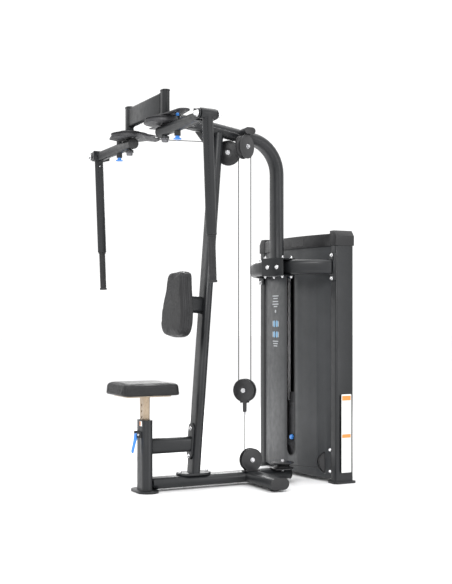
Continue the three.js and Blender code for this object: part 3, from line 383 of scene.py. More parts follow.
def tube_into(bm, path, radius, count=10, closed=False, wobble=0.0):
    """Adds a round tube along a path of points, with a frame carried from point to point."""
    total = len(path)
    up = None
    rings = []
    for i, point in enumerate(path):
        ahead = path[(i + 1) % total] if closed or i + 1 < total else point
        behind = path[i - 1] if closed or i else point
        tangent = (ahead - behind).normalized()
        if up is None:
            up = X if abs(tangent.x) < 0.8 else Z
        side = tangent.cross(up).normalized()
        up = side.cross(tangent).normalized()
        size = radius * (1 + wobble * noise.noise(point * 300))
        rings.append([point + side * x + up * y for x, y in circle(size, count)])
    skin(bm, rings, closed_loop=closed)


# ------------------------------------------------------------------ fasteners

def hex_bolt_into(bm, origin, axis, size=0.008):
    """A washer and a hexagon head whose across-corners radius is size."""
    origin = Vector(origin)
    lathe_into(bm, [(size * 1.35, 0), (size * 1.35, size * 0.14), (size * 1.25, size * 0.22)],
               origin, axis, 28)
    lift = origin + Vector(axis).normalized() * size * 0.2
    lathe_into(bm, [(size, 0), (size, size * 0.72), (size * 0.86, size * 0.86)], lift, axis, 6)


def dome_nut_into(bm, origin, axis, size=0.009):
    """A washer, a hexagon and the dome of a cap nut."""
    hex_bolt_into(bm, origin, axis, size)
    crown = Vector(origin) + Vector(axis).normalized() * size * 0.9
    dome = [(size * 0.8 * math.cos(a), size * 0.75 * math.sin(a))
            for a in (math.radians(d) for d in (0, 25, 50, 70, 89))]
    lathe_into(bm, dome, crown, axis, 20)


def button_screw_into(bm, origin, axis, size=0.006):
    """A button-head screw with a hexagon socket."""
    origin = Vector(origin)
    turn = basis(axis)
    profile = [(1.0, 0.0), (0.98, 0.14), (0.86, 0.34), (0.66, 0.48), (0.50, 0.52)]
    rings = [[origin + turn @ Vector((x, y, h * size)) for x, y in circle(r * size, 24)]
             for r, h in profile]
    for depth in (0.52, 0.16):
        ring = []
        for x, y in circle(1.0, 24):
            angle = math.atan2(y, x)
            sector = (angle + math.tau) % (math.pi / 3) - math.pi / 6
            reach = 0.36 * size / math.cos(sector)
            ring.append(origin + turn @ Vector((x * reach, y * reach, depth * size)))
        rings.append(ring)
    skin(bm, rings)


def fasteners(name, body, material, maker, places, size):
    """One piece that holds every fastener of a kind on a body."""
    bm = bmesh.new()
    for origin, axis in places:
        maker(bm, origin, axis, size)
    return to_object(name, bm, material, body, 28)


# ------------------------------------------------------------------ cushions

def cushion_base(points, thickness, edge, origin, turn, name):
    """A closed pad form with softened edges, growing from origin along turn's z."""
    bm = bmesh.new()
    layers = [(edge * 0.5, 0.0), (0.0, edge * 0.4), (0.0, thickness - edge)]
    layers += [(edge * (1 - math.cos(a)), thickness - edge * (1 - math.sin(a)))
               for a in (math.radians(d) for d in (30, 60, 90))]
    skin(bm, [[origin + turn @ Vector((x, y, h)) for x, y in inset(points, amount)]
              for amount, h in layers])
    bmesh.ops.recalc_face_normals(bm, faces=bm.faces)
    mesh = bpy.data.meshes.new(name)
    bm.to_mesh(mesh)
    bm.free()
    pad = bpy.data.objects.new(name, mesh)
    bpy.context.scene.collection.objects.link(pad)
    return pad


def apply_modifiers(piece):
    evaluated = piece.evaluated_get(bpy.context.evaluated_depsgraph_get())
    mesh = bpy.data.meshes.new_from_object(evaluated)
    piece.modifiers.clear()
    piece.data = mesh


def remesh(piece, voxel):
    grid = piece.modifiers.new("grid", "REMESH")
    grid.mode = "VOXEL"
    grid.voxel_size = voxel
    apply_modifiers(piece)


def puff(piece, origin, normal, held, cap, pressure):
    """Swells the pad by cloth pressure while its back, up to the height held, stays flat."""
    rest = np.array([v.co for v in piece.data.vertices])
    height = (rest - np.array(origin)) @ np.array(normal)
    pinned = piece.vertex_groups.new(name="back")
    pinned.add([int(i) for i in np.nonzero(height < held)[0]], 1.0, "REPLACE")
    cloth = piece.modifiers.new("cloth", "CLOTH")
    settings = cloth.settings
    settings.vertex_group_mass = "back"
    settings.use_pressure = True
    settings.uniform_pressure_force = pressure
    settings.tension_stiffness = settings.compression_stiffness = 18
    settings.bending_stiffness = 1.2
    settings.effector_weights.gravity = 0
    settings.quality = 5
    cloth.point_cache.frame_start, cloth.point_cache.frame_end = 1, 20
    for step in range(1, 21):
        bpy.context.scene.frame_set(step)
    swollen = piece.evaluated_get(bpy.context.evaluated_depsgraph_get()).to_mesh()
    moved = np.array([v.co for v in swollen.vertices])
    piece.modifiers.clear()
    bpy.context.scene.frame_set(1)
    shift = moved - rest
    length = np.linalg.norm(shift, axis=1, keepdims=True)
    shift *= np.minimum(1.0, cap / np.maximum(length, 1e-9))
    piece.data.vertices.foreach_set("co", (rest + shift).astype(np.float32).ravel())
    piece.data.update()


def crown(piece, origin, normal, held, centre, reach, lift):
    """Raises the middle of the pad's face, for a full foam core under the cover."""
    for vertex in piece.data.vertices:
        offset = vertex.co - origin
        height = offset.dot(normal)
        if height < held:
            continue
        across = vertex.co - centre
        across -= normal * across.dot(normal)
        share = max(0.0, 1 - (across.length / reach) ** 2)
        vertex.co += normal * lift * share ** 0.7


def surface_loop(piece, outline, origin, turn, height, grow=0.05):
    """Points on the pad's side at a height, found by rays from outside, with their normals."""
    tree = BVHTree.FromObject(piece, bpy.context.evaluated_depsgraph_get())
    middle = origin + turn @ Vector((0, 0, height))
    loop = []
    for x, y in outline:
        target = origin + turn @ Vector((x, y, height))
        outward = (target - middle).normalized()
        hit, normal, _, _ = tree.ray_cast(target + outward * grow, -outward)
        if hit is not None:
            loop.append((hit, normal))
    return loop


def densify(points, spacing):
    """Even points around a closed outline."""
    corners = [Vector(p) for p in points]
    lengths = [(corners[(i + 1) % len(corners)] - corners[i]).length for i in range(len(corners))]
    count = max(8, round(sum(lengths) / spacing))
    step = sum(lengths) / count
    even, i, walked = [], 0, 0.0
    for k in range(count):
        goal = k * step
        while walked + lengths[i] < goal:
            walked += lengths[i]
            i += 1
        a, b = corners[i], corners[(i + 1) % len(corners)]
        even.append(tuple(a.lerp(b, (goal - walked) / lengths[i])))
    return even


def press_groove(piece, points, width, depth):
    """Presses the cover in along a line of points, as a seam pulls it."""
    tree_points = np.array([tuple(p) for p in points])
    for vertex in piece.data.vertices:
        gap = np.sqrt(((tree_points - np.array(vertex.co)) ** 2).sum(1).min())
        if gap < width:
            vertex.co -= vertex.normal * depth * (1 - gap / width) ** 2


def seam_into(bm, loop, radius, sink):
    tube_into(bm, [hit - normal * sink for hit, normal in loop], radius, 8, closed=True)


def stitch_into(bm, start, end, normal, radius):
    """One stitch: a short thread that dips into the cover at both ends."""
    path = []
    for share, rise in ((0.0, -0.9), (0.2, 0.35), (0.5, 0.7), (0.8, 0.35), (1.0, -0.9)):
        path.append(start.lerp(end, share) + normal * radius * rise)
    tube_into(bm, path, radius, 6)


def stitches_into(bm, line, radius, closed=True):
    """A row of stitches along a line of (point, normal) pairs, two steps on and one off."""
    last = len(line) if closed else len(line) - 1
    for i in range(0, last, 2):
        start, normal = line[i]
        end = line[(i + 1) % len(line)][0]
        stitch_into(bm, start.lerp(end, 0.1), start.lerp(end, 1.3), normal, radius)


def down_the_side(piece, point, origin, turn, low, high, spacing=0.0035):
    """A line of (point, normal) pairs on the pad's side, from a low height to a high one."""
    tree = BVHTree.FromObject(piece, bpy.context.evaluated_depsgraph_get())
    outward = (turn @ Vector((*point, 0))).normalized()
    line = []
    count = int((high - low) / spacing)
    for i in range(count + 1):
        height = low + (high - low) * i / count
        start = origin + turn @ Vector((*point, height)) + outward * 0.04
        hit, normal, _, _ = tree.ray_cast(start, -outward)
        if hit is not None:
            line.append((hit, normal))
    return line


THREAD_RADIUS = 0.00042


def make_pad(name, node, body, points, thickness, origin, turn, seams, corners, lift):
    """A foam pad in sewn vinyl, standing for its CAD node.

    seams are heights of the seams round its side, and corners are outline points
    where a seam runs down the side."""
    normal = turn @ Z
    slack = 0.0035
    outline = inset(points, slack)
    pad = cushion_base(outline, thickness - 0.004 - lift, 0.013, origin, turn, name)
    remesh(pad, 0.005)
    middle = sum((origin + turn @ Vector((*p, 0)) for p in points), Vector()) / len(points)
    reach = max((Vector(p)).length for p in points)
    puff(pad, origin, normal, 0.006, 0.0055, 4)
    crown(pad, origin, normal, thickness * 0.6, middle, reach, lift)
    smooth = pad.modifiers.new("smooth", "SMOOTH")
    smooth.factor, smooth.iterations = 0.5, 3
    finer = pad.modifiers.new("finer", "SUBSURF")
    finer.levels = finer.render_levels = 1
    apply_modifiers(pad)

    even = densify(points, 0.0035)
    loops = [surface_loop(pad, even, origin, turn, height) for height in seams]
    sides = [down_the_side(pad, p, origin, turn, 0.006, seams[-1]) for p in corners]
    for line in loops + sides:
        press_groove(pad, [hit for hit, _ in line[::2]], 0.007, 0.0020)
    pad.data.polygons.foreach_set("use_smooth", [True] * len(pad.data.polygons))
    pad.data.materials.clear()
    pad.data.materials.append(VINYL)
    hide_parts(node)
    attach(pad, body)

    bm = bmesh.new()
    for height in seams:
        seam_into(bm, surface_loop(pad, even, origin, turn, height), 0.0012, 0.0003)
    to_object(name + "_welt", bm, VINYL, body)
    bm = bmesh.new()
    for height in seams:
        for offset in (-0.0045, 0.0045):
            line = surface_loop(pad, even, origin, turn, height + offset)
            stitches_into(bm, line, THREAD_RADIUS)
    for p in corners:
        line = down_the_side(pad, p, origin, turn, 0.008, seams[0] - 0.003)
        stitches_into(bm, line, THREAD_RADIUS, False)
    to_object(name + "_stitching", bm, THREAD, body)


def seat_pad():
    low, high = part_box("seat_pad")
    size = high - low
    origin = Vector(((low.x + high.x) / 2, (low.y + high.y) / 2, low.z))
    points = rounded(size.x, size.y, 0.048)
    corner = 0.048 * (1 - math.sqrt(0.5))
    corners = [(sx * (size.x / 2 - corner), sy * (size.y / 2 - corner))
               for sx in (-1, 1) for sy in (-1, 1)]
    make_pad("seat_cushion", "seat_pad", "seat", points, size.z, origin, Matrix.Identity(3),
             [size.z - 0.014], corners, 0.004)


COLUMN_LEAN = math.radians(4.36)
COLUMN_BACK = Vector((0, math.cos(COLUMN_LEAN), -math.sin(COLUMN_LEAN)))
COLUMN_UP = Vector((0, math.sin(COLUMN_LEAN), math.cos(COLUMN_LEAN)))


def bezier(a, b, c, d, steps=9):
    points = []
    for i in range(steps):
        t = i / steps
        points.append(tuple(((1 - t) ** 3 * p + 3 * t * (1 - t) ** 2 * q + 3 * t * t * (1 - t) * r
                             + t ** 3 * s) for p, q, r, s in zip(a, b, c, d)))
    return points


def back_outline():
    """The back pad's outline: wide at the bottom, waisted towards a narrower top."""
    half = [((-0.060, -0.178), (0.060, -0.178)),
            ((0.060, -0.178), (0.140, -0.178), (0.160, -0.140), (0.160, -0.080)),
            ((0.160, -0.080), (0.160, 0.0), (0.122, 0.060), (0.112, 0.128)),
            ((0.112, 0.128), (0.108, 0.165), (0.090, 0.178), (0.056, 0.178))]
    right = []
    for a, b, c, d in half[1:]:
        right += bezier(a, b, c, d)
    right.append((0.056, 0.178))
    left = [(-x, y) for x, y in reversed(right)]
    return right + left


def back_pad():
    thickness = 0.062
    low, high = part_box("back_pad")
    middle = (low + high) / 2 + COLUMN_BACK * thickness / 2
    turn = Matrix((-X, COLUMN_UP, -COLUMN_BACK)).transposed()
    points = back_outline()
    make_pad("back_cushion", "back_pad", "frame", points, thickness, middle, turn,
             [0.026, thickness - 0.014], [(0.0, -0.178), (0.0, 0.178)], 0.004)


# ------------------------------------------------------------------ pulleys and cables

class Pulley:
    """Where a pulley's guard discs stand: centre, axis, and half the width over the discs."""

    def __init__(self, wheel, guard_radius, axis, body="frame", half=0.0175):
        low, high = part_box(wheel)
        self.centre = (low + high) / 2
        self.axis = Vector(axis).normalized()
        self.radius, self.body, self.half = guard_radius, body, half


def joint_axis(name):
    return next(joint["axis"] for joint in frame["joints"] if joint["name"] == name)


def pulleys():
    return {
        "top_front": Pulley("top_wheel_front", 0.066, joint_axis("top_wheel_front_spin")),
        "top_back": Pulley("top_wheel_back", 0.064, joint_axis("top_wheel_back_spin")),
        "floating": Pulley("floating_wheel", 0.062, joint_axis("floating_spin"), "floating_block"),
        "low": Pulley("low_wheel", 0.062, joint_axis("low_wheel_spin")),
        "flat": Pulley("flat_wheel", 0.060, joint_axis("flat_wheel_spin")),
        "tower_low": Pulley("tower_low_wheel", 0.066, joint_axis("tower_low_wheel_spin")),
    }


def pulley_cover(name, pulley):
    """Domed covers on both guard discs, each with a stepped rim."""
    bm = bmesh.new()
    for side in (-1, 1):
        axis = pulley.axis * side
        face = pulley.centre + axis * pulley.half
        r = pulley.radius
        profile = [(r * 0.995, -0.0048), (r + 0.0012, -0.0038), (r + 0.0014, -0.0010), (r, 0.0008),
                   (r - 0.004, 0.0016), (r - 0.0055, 0.0013), (r - 0.0075, 0.0017),
                   (r * 0.7, 0.0032), (r * 0.40, 0.0043), (r * 0.30, 0.0046), (r * 0.27, 0.0040),
                   (0.0118, 0.0040)]
        lathe_into(bm, profile, face, axis, 56)
    to_object("guard_cover_" + name, bm, PULLEY_PLASTIC, pulley.body, 40)
    places = [(pulley.centre + pulley.axis * side * (pulley.half + 0.0038), pulley.axis * side)
              for side in (-1, 1)]
    fasteners("pulley_bolt_" + name, pulley.body, ZINC, hex_bolt_into, places, 0.0098)


def make_pulleys():
    for name, pulley in pulleys().items():
        pulley_cover(name, pulley)


CABLE_RADIUS = 0.0025


def straight_cable(name, node, top, bottom):
    """A taut straight run between two points, as a smooth tube with flat closed ends."""
    steps = 40
    bm = bmesh.new()
    tube_into(bm, [top.lerp(bottom, i / steps) for i in range(steps + 1)], CABLE_RADIUS, 12)
    run = to_object(name, bm, SHEATH, None)
    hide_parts(node)
    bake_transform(run)


def run_of(node):
    """Top and bottom points of a vertical cable node."""
    low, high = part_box(node)
    x, y = (low.x + high.x) / 2, (low.y + high.y) / 2
    return Vector((x, y, high.z)), Vector((x, y, low.z))


def make_cable_runs():
    for node in ("cable_run_front", "cable_run_back"):
        top, bottom = run_of(node)
        straight_cable(node + "_taut", node, top, bottom)
    top, bottom = run_of("cable_low_run")
    straight_cable("cable_low_taut", "cable_low_run", top, bottom)
    top, bottom = run_of("cable_stack_run")
    straight_cable("cable_stack_taut", "cable_stack_run", top, bottom)


def cable_fittings():
    """The threaded end below the floating pulley and the one on top of the stack."""
    top, _ = run_of("cable_low_run")
    bm = bmesh.new()
    end = top + Z * 0.001
    lathe_into(bm, [(0.0046, -0.020), (0.0052, -0.018), (0.0052, 0.0), (0.0046, 0.001)], end, Z, 20)
    for i in range(7):
        lathe_into(bm, [(0.0056, 0.0), (0.0062, 0.0006), (0.0056, 0.0012)],
                   end - Z * (0.004 + i * 0.0021), Z, 20)
    to_object("low_cable_ferrule", bm, ZINC, "floating_block")
    _, tie = run_of("cable_stack_run")
    bm = bmesh.new()
    lathe_into(bm, [(0.0105, 0.0), (0.0105, 0.009), (0.0092, 0.011)], tie - Z * 0.002, Z, 6)
    lathe_into(bm, [(0.0055, 0.010), (0.0060, 0.012), (0.0060, 0.034), (0.0045, 0.037)],
               tie - Z * 0.002, Z, 20)
    to_object("stack_cable_ferrule", bm, ZINC, "weight_stack")


# ------------------------------------------------------------------ hardware on the frame

COLUMN_FOOT = at(0, 282, 73)


def on_column(z, side=0.0, proud=0.0):
    """A point on the column's front face, at a height in millimetres above the floor."""
    along = (z * MM - COLUMN_FOOT.z) / COLUMN_UP.z
    return COLUMN_FOOT + COLUMN_UP * along - COLUMN_BACK * (0.025 + proud) + X * side


SADDLE_TURN = math.radians(22)
SADDLE_ALONG = Vector((math.cos(SADDLE_TURN), math.sin(SADDLE_TURN), 0))
SADDLE_BACK = Vector((-math.sin(SADDLE_TURN), math.cos(SADDLE_TURN), 0))


def on_saddle(side, back, z):
    """A point on the saddle, in millimetres from the middle of its front face's foot."""
    return at(0, 797, z) + (SADDLE_ALONG * side + SADDLE_BACK * (back - 41)) * MM


def frame_fasteners():
    """Bolts at the flanges, each on the face that its plate shows."""
    near_x = (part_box("upright_near")[0].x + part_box("upright_near")[1].x) / 2
    far_x = (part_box("upright_far")[0].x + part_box("upright_far")[1].x) / 2
    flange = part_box("bow_tube")[1].y - 0.009
    places = [(Vector((x, flange, z * MM)), -Y) for x in (near_x, far_x) for z in (1135, 1263)]
    places += [(on_saddle(side, 0, 1199), -SADDLE_BACK) for side in (-33, 33)]
    places += [(on_column(z, 0.0, 0.010), -COLUMN_BACK) for z in (237 - 66, 237 + 82)]
    fasteners("flange_bolts", "frame", CHROME, hex_bolt_into, places, 0.0085)

    corners = [(side, back) for side in (-61, 61) for back in (18, 98)]
    nuts = [(on_saddle(*corner, 1250), Z) for corner in corners]
    nuts += [(on_saddle(*corner, 1149.7), -Z) for corner in corners]
    foot_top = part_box("floor_frame")[1].z + 0.0123
    nuts += [(Vector((0, COLUMN_FOOT.y + dy, foot_top)), Z) for dy in (-0.078, 0.078)]
    fasteners("clamp_nuts", "frame", CHROME, dome_nut_into, nuts, 0.0075)


def pivot_hardware():
    """Nuts on the hinge pins of the handles and under the two arm pivots."""
    for side, sign in SIDES:
        hinge = at(sign * HINGE_X, 10, 1863)
        ends = [(hinge + Y * s * 0.0525, Y * s) for s in (-1, 1)]
        fasteners("hinge_nuts_" + side, "arm_" + side, CHROME, dome_nut_into, ends, 0.0125)
        low = at(sign * PIVOT_X, 10, 1824)
        fasteners("pivot_nut_" + side, "frame", DARK_ZINC, hex_bolt_into, [(low, -Z)], 0.017)
        bm = bmesh.new()
        spacer = at(sign * PIVOT_X, 10, 1923 + 18.3)
        lathe_into(bm, [(0.0195, -0.0125), (0.0205, -0.0115), (0.0205, -0.0008), (0.0195, 0.0)],
                   spacer, Z, 36)
        to_object("pivot_bush_" + side, bm, CHROME, "frame")


def end_cap_into(bm, points, origin, axis, x_axis, lip=0.0035):
    plate_into(bm, points, lip, 0.0022, origin, axis, x_axis)


def end_caps():
    """Black plastic caps in the open tube ends."""
    bm = bmesh.new()
    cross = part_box("floor_frame")
    middle = at(0, 625, 12.3 + 30)
    end_cap_into(bm, obround(0.112, 0.062), Vector((cross[1].x, middle.y, middle.z)), X, Y)
    end_cap_into(bm, obround(0.112, 0.062), Vector((0, cross[1].y, middle.z)), Y, X)
    end_cap_into(bm, obround(0.066, 0.038), at(112, 569, 1931), X, Y)
    to_object("frame_end_caps", bm, BLACK_PLASTIC, "frame", 30)
    for side, sign in SIDES:
        bm = bmesh.new()
        outward = X * -sign
        end_cap_into(bm, circle(0.0300, 48), at(sign * 189, 10, 1865), outward, Y)
        to_object("arm_end_cap_" + side, bm, BLACK_PLASTIC, "arm_" + side, 30)


def weld_bead(bm, outline, origin, axis, x_axis, radius=0.0028):
    """A rippled fillet of weld around a tube that stands on a plate."""
    turn = basis(axis, x_axis)
    path = [origin + turn @ Vector((x, y, 0.0006)) for x, y in densify(outline, 0.0032)]
    total = len(path)
    rings = []
    for i, point in enumerate(path):
        tangent = (path[(i + 1) % total] - path[i - 1]).normalized()
        outward = tangent.cross(turn @ Z).normalized()
        up = turn @ Z
        size = radius * (1.0 + 0.16 * math.sin(i * 1.9) + 0.10 * noise.noise(point * 200))
        rings.append([point + outward * x + up * y for x, y in circle(size, 8)])
    skin(bm, rings, closed_loop=True)


def welds():
    bm = bmesh.new()
    weld_bead(bm, obround(0.118, 0.060), at(0, 0, 12), Z, X)
    weld_bead(bm, obround(0.050, 0.084), at(0, 30, 237), Y, X)
    for x in (216, -599):
        weld_bead(bm, rounded(0.064, 0.114, 0.014), at(x, 1091, 12), Z, X)
    for sign in (-1, 1):
        weld_bead(bm, rounded(0.036, 0.107, 0.014), at(sign * 216, 10, 2009.5), X * -sign, Y)
    to_object("weld_beads", bm, FRAME_PAINT, "frame", 60)


# ------------------------------------------------------------------ handles, pins and lever

HANDLE_DOWN = Vector((0, math.sin(math.radians(2.1)), -math.cos(math.radians(2.1))))


def make_grips():
    """Ribbed rubber grips with a flange at the top and a flared end."""
    length, core = 0.222, 0.0168
    profile = [(0.0120, 0.0), (0.0205, 0.0), (0.0212, 0.0015), (0.0212, 0.0065), (0.0200, 0.0080),
               (core, 0.0095)]
    ribs = 34
    start, pitch = 0.012, 0.0057
    for i in range(ribs):
        low = start + i * pitch
        profile += [(core, low), (core + 0.0012, low + 0.0008), (core + 0.0014, low + 0.0026),
                    (core + 0.0012, low + 0.0044), (core, low + 0.0050)]
    profile += [(core, length - 0.013), (0.0198, length - 0.0115), (0.0204, length - 0.010),
                (0.0204, length - 0.003), (0.0188, length - 0.0005), (0.0120, length)]
    for side, sign in SIDES:
        bm = bmesh.new()
        origin = at(sign * HINGE_X, 10, 1864) + HANDLE_DOWN * 0.5613
        lathe_into(bm, profile, origin, HANDLE_DOWN, 40)
        grip = to_object("grip_sleeve_" + side, bm, GRIP_RUBBER, "handle_" + side,
                         50)
        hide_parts("grip_" + side)
        bm = bmesh.new()
        collar = origin - HANDLE_DOWN * 0.0002
        lathe_into(bm, [(0.0215, -0.006), (0.0258, -0.0055), (0.0258, -0.0010), (0.0225, 0.0010)],
                   collar, HANDLE_DOWN, 48)
        to_object("handle_end_ring_" + side, bm, BLACK_PLASTIC, "handle_" + side,
                  40)


def make_stop_lugs():
    """A small lug with a bolt on the inner side of each handle, just below its hinge."""
    for side, sign in SIDES:
        bm = bmesh.new()
        middle = at(sign * (HINGE_X - 30), 10, 1864) + HANDLE_DOWN * 0.056
        plate_into(bm, rounded(0.020, 0.020, 0.004), 0.012, 0.0012, middle - Y * 0.006, Y, X)
        to_object("stop_lug_" + side, bm, FRAME_PAINT, "handle_" + side)
        places = [(middle - Y * 0.006 - X * sign * 0.001, -Y)]
        fasteners("stop_bolt_" + side, "handle_" + side, ZINC, hex_bolt_into, places, 0.0055)


def make_pop_pins():
    """Pull pins: a shank and a pull knob with a broad scalloped flange, all in blue plastic."""
    for side, sign in SIDES:
        origin = at(sign * (PIVOT_X + 155), 10, 1796)
        bm = bmesh.new()
        shank = [(0.0078, 0.016), (0.0080, 0.018), (0.0080, 0.1305), (0.0070, 0.1315)]
        lathe_into(bm, shank, origin, Z, 24)
        shape = [(0.0105, 0.0185), (0.0108, 0.012), (0.0120, 0.0090), (0.0150, 0.0075),
                 (0.0188, 0.0066), (0.0200, 0.0050), (0.0200, 0.0022), (0.0186, 0.0006),
                 (0.0150, 0.0), (0.0070, -0.0002)]
        knob = []
        for radius, height in shape:
            flange = max(0.0, (radius - 0.013) / 0.007)
            ring = []
            for k in range(48):
                angle = math.tau * k / 48
                r = radius * (1 - 0.045 * flange * (1 + math.cos(8 * angle)))
                ring.append(origin + Vector((r * math.cos(angle), r * math.sin(angle), height)))
            knob.append(ring)
        skin(bm, knob)
        pin = to_object("pull_pin_" + side, bm, BLUE_PLASTIC, "pop_pin_" + side, 50)
        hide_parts("pop_pin_" + side)


def make_seat_lever():
    """The blue lever: a bent blade, thick at the pivot and rounded all round."""
    spine = [(-46, 312, 8.5), (-47, 303, 11.5), (-51, 292, 10.0), (-55, 276, 7.0), (-60, 256, 6.0),
             (-65, 236, 5.8), (-69, 221, 6.0), (-70, 210, 5.6), (-69, 206, 3.0)]
    bm = bmesh.new()
    rings = []
    for i, (y, z, half) in enumerate(spine):
        ahead = spine[min(i + 1, len(spine) - 1)]
        behind = spine[max(i - 1, 0)]
        along = Vector((0, ahead[0] - behind[0], ahead[1] - behind[1])).normalized()
        across = along.cross(X)
        width = 12.5 if i < 4 else 12.5 - 0.5 * (i - 3)
        width = width if i < len(spine) - 1 else 7
        ring = []
        for k in range(24):
            angle = math.tau * k / 24
            c, s = math.cos(angle), math.sin(angle)
            x = width * math.copysign(abs(c) ** 0.6, c)
            h = half * math.copysign(abs(s) ** 0.8, s)
            ring.append(at(0, y, z) + (X * x + across * h) * MM)
        rings.append(ring)
    skin(bm, rings)
    lever = to_object("seat_lever_blade", bm, BLUE_PLASTIC, "seat_lever", 50)
    finer = lever.modifiers.new("finer", "SUBSURF")
    finer.levels = finer.render_levels = 2
    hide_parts("seat_lever")
    places = [(at(s * 22, -46, 304), X * s) for s in (-1, 1)]
    fasteners("lever_pivot", "frame", ZINC, button_screw_into, places, 0.0062)


# ------------------------------------------------------------------ labels and small print

def patch_into(bm, width, height, radius, origin, outward, up, thickness=0.0004):
    """A thin film with rounded corners lying on a flat face."""
    side = Vector(up).cross(Vector(outward)).normalized()
    plate_into(bm, rounded(width, height, radius, 5), thickness, thickness * 0.5, origin,
               outward, side)


def sticker(name, material, body, patches):
    bm = bmesh.new()
    for patch in patches:
        patch_into(bm, *patch)
    to_object(name, bm, material, body, 40)


def upright_label():
    """The tall instruction strip on the near upright, with two coloured bands and no words."""
    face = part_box("upright_near")[1].x
    middle = at(0, 1091, 0).y
    centre = Vector((face, middle, 0.278))
    sticker("instruction_strip", LABEL_WHITE, "frame",
            [(0.064, 0.432, 0.005, centre, X, Z)])
    lift = X * 0.0004
    bands = [(0.056, 0.026, 0.002, centre + lift + Z * 0.195, X, Z),
             (0.056, 0.020, 0.002, centre + lift - Z * 0.014, X, Z)]
    sticker("instruction_bands", LABEL_ORANGE, "frame", bands)
    rows = []
    for block, count in ((0.168, 12), (-0.042, 11)):
        for i in range(count):
            wide = 0.046 - 0.010 * ((i * 7) % 3) / 2
            spot = centre + lift + Z * (block - i * 0.0135) - Y * ((0.046 - wide) / 2)
            rows.append((wide, 0.0018, 0.0008, spot, X, Z, 0.0002))
    sticker("instruction_rows", LABEL_GREY, "frame", rows)


def seat_post_label():
    face = at(0, -30, 0).y
    spot = Vector((0.018, face, 0.361))
    sticker("height_label", LABEL_WHITE, "frame", [(0.034, 0.026, 0.002, spot, -Y, Z)])
    sticker("height_label_band", LABEL_ORANGE, "frame",
            [(0.013, 0.022, 0.0015, spot - X * 0.0085 - Y * 0.0004, -Y, Z)])


PANEL_RADIUS, PANEL_NOSE = 1.268, at(0, 983, 0).y
TOWER_X, SLOT_X = -0.1915, -0.1655


def on_panel(x, z, proud=0.0):
    """A point on the bowed front panel and the way it faces there."""
    dx = x - TOWER_X
    outward = Vector((dx, -math.sqrt(PANEL_RADIUS ** 2 - dx ** 2), 0)).normalized()
    centre_y = PANEL_NOSE + PANEL_RADIUS
    point = Vector((TOWER_X, centre_y, z)) + outward * (PANEL_RADIUS + proud)
    return point, outward


def panel_print():
    """Generic pictograms beside the slot: bars, a dot and two rows of plain blue marks."""
    middle = SLOT_X - 0.197

    def mark(dx, z, wide, tall):
        here, facing = on_panel(middle + dx, z)
        return (wide, tall, min(wide, tall) * 0.45, here, facing, Z, 0.0003)

    grey = [mark(0, z, wide, 0.007) for z, wide in
            ((1.047, 0.096), (1.032, 0.070), (1.014, 0.090), (0.998, 0.098), (0.984, 0.060))]
    grey.append(mark(0, 0.955, 0.022, 0.018))
    grey += [mark(0, 0.775 - 0.014 * i, 0.090 - 0.015 * i, 0.006) for i in range(3)]
    grey += [mark(dx, z, 0.010, 0.034) for dx in (-0.044, 0.044) for z in (0.880, 0.816)]
    blue = [mark(dx, z, 0.030, tall) for dx in (-0.021, 0.021)
            for z, tall in ((0.880, 0.040), (0.816, 0.038))]
    sticker("panel_pictograms", LABEL_GREY, "frame", grey)
    sticker("panel_pictograms_blue", LABEL_BLUE, "frame", blue)


def tray_badge():
    """A dark glossy window in the front of the top tray."""
    bm = bmesh.new()
    span = [SLOT_X + 0.02 + 0.006 * i for i in range(21)]
    low, high = 1.3285, 1.3695
    front = [on_panel(x, 0, 0.0062)[0] for x in span]
    back = [on_panel(x, 0, 0.0045)[0] for x in reversed(span)]
    outline = front + back
    skin(bm, [[Vector((p.x, p.y, z)) for p in outline] for z in (low, high)])
    to_object("tray_badge", bm, DARK_GLOSS, "frame", 30)


def slot_trim():
    """A rolled edge round the slot in the front panel."""
    half, low, high = 0.042, 0.112 + 0.042, 1.250 - 0.042
    outline = []
    for i in range(13):
        a = math.pi * i / 12
        outline.append((half * math.cos(a), high + half * math.sin(a)))
    for i in range(13):
        a = math.pi * (1 + i / 12)
        outline.append((half * math.cos(a), low + half * math.sin(a)))
    path = [on_panel(SLOT_X + x, z, -0.002)[0] for x, z in densify(outline, 0.02)]
    bm = bmesh.new()
    tube_into(bm, path, 0.0032, 10, closed=True)
    to_object("slot_trim", bm, BLACK_PLASTIC, "frame", 60)


def plate_numbers():
    """A white tab with its load in kilograms on each weight plate, on the slot's side."""
    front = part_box("plates_upper")[0].y
    low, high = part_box("plates_lower")[0].z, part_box("plates_upper")[1].z
    count = 14
    step = (high - low) / count
    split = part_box("plates_upper")[0].z
    tabs = {"frame": [], "weight_stack": []}
    for i in range(count):
        z = low + (i + 0.5) * step
        body = "weight_stack" if z > split else "frame"
        tabs[body].append((0.016, 0.010, 0.0015, Vector((SLOT_X + 0.027, front, z)), -Y, Z, 0.0003))
        digits = bpy.data.curves.new(f"load_{i}", "FONT")
        digits.body = str(5 * (count - i))
        digits.size, digits.extrude = 0.0095, 0.0001
        digits.align_x, digits.align_y = "CENTER", "CENTER"
        text = bpy.data.objects.new(f"load_{i}", digits)
        bpy.context.scene.collection.objects.link(text)
        text.matrix_world = Matrix.LocRotScale(Vector((SLOT_X + 0.027, front - 0.00045, z)),
                                               Matrix.Rotation(math.pi / 2, 3, "X"), None)
        digits.materials.append(DARK_GLOSS)
        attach(text, body)
    for body, patches in tabs.items():
        sticker("load_tabs_" + body, LABEL_WHITE, body, patches)


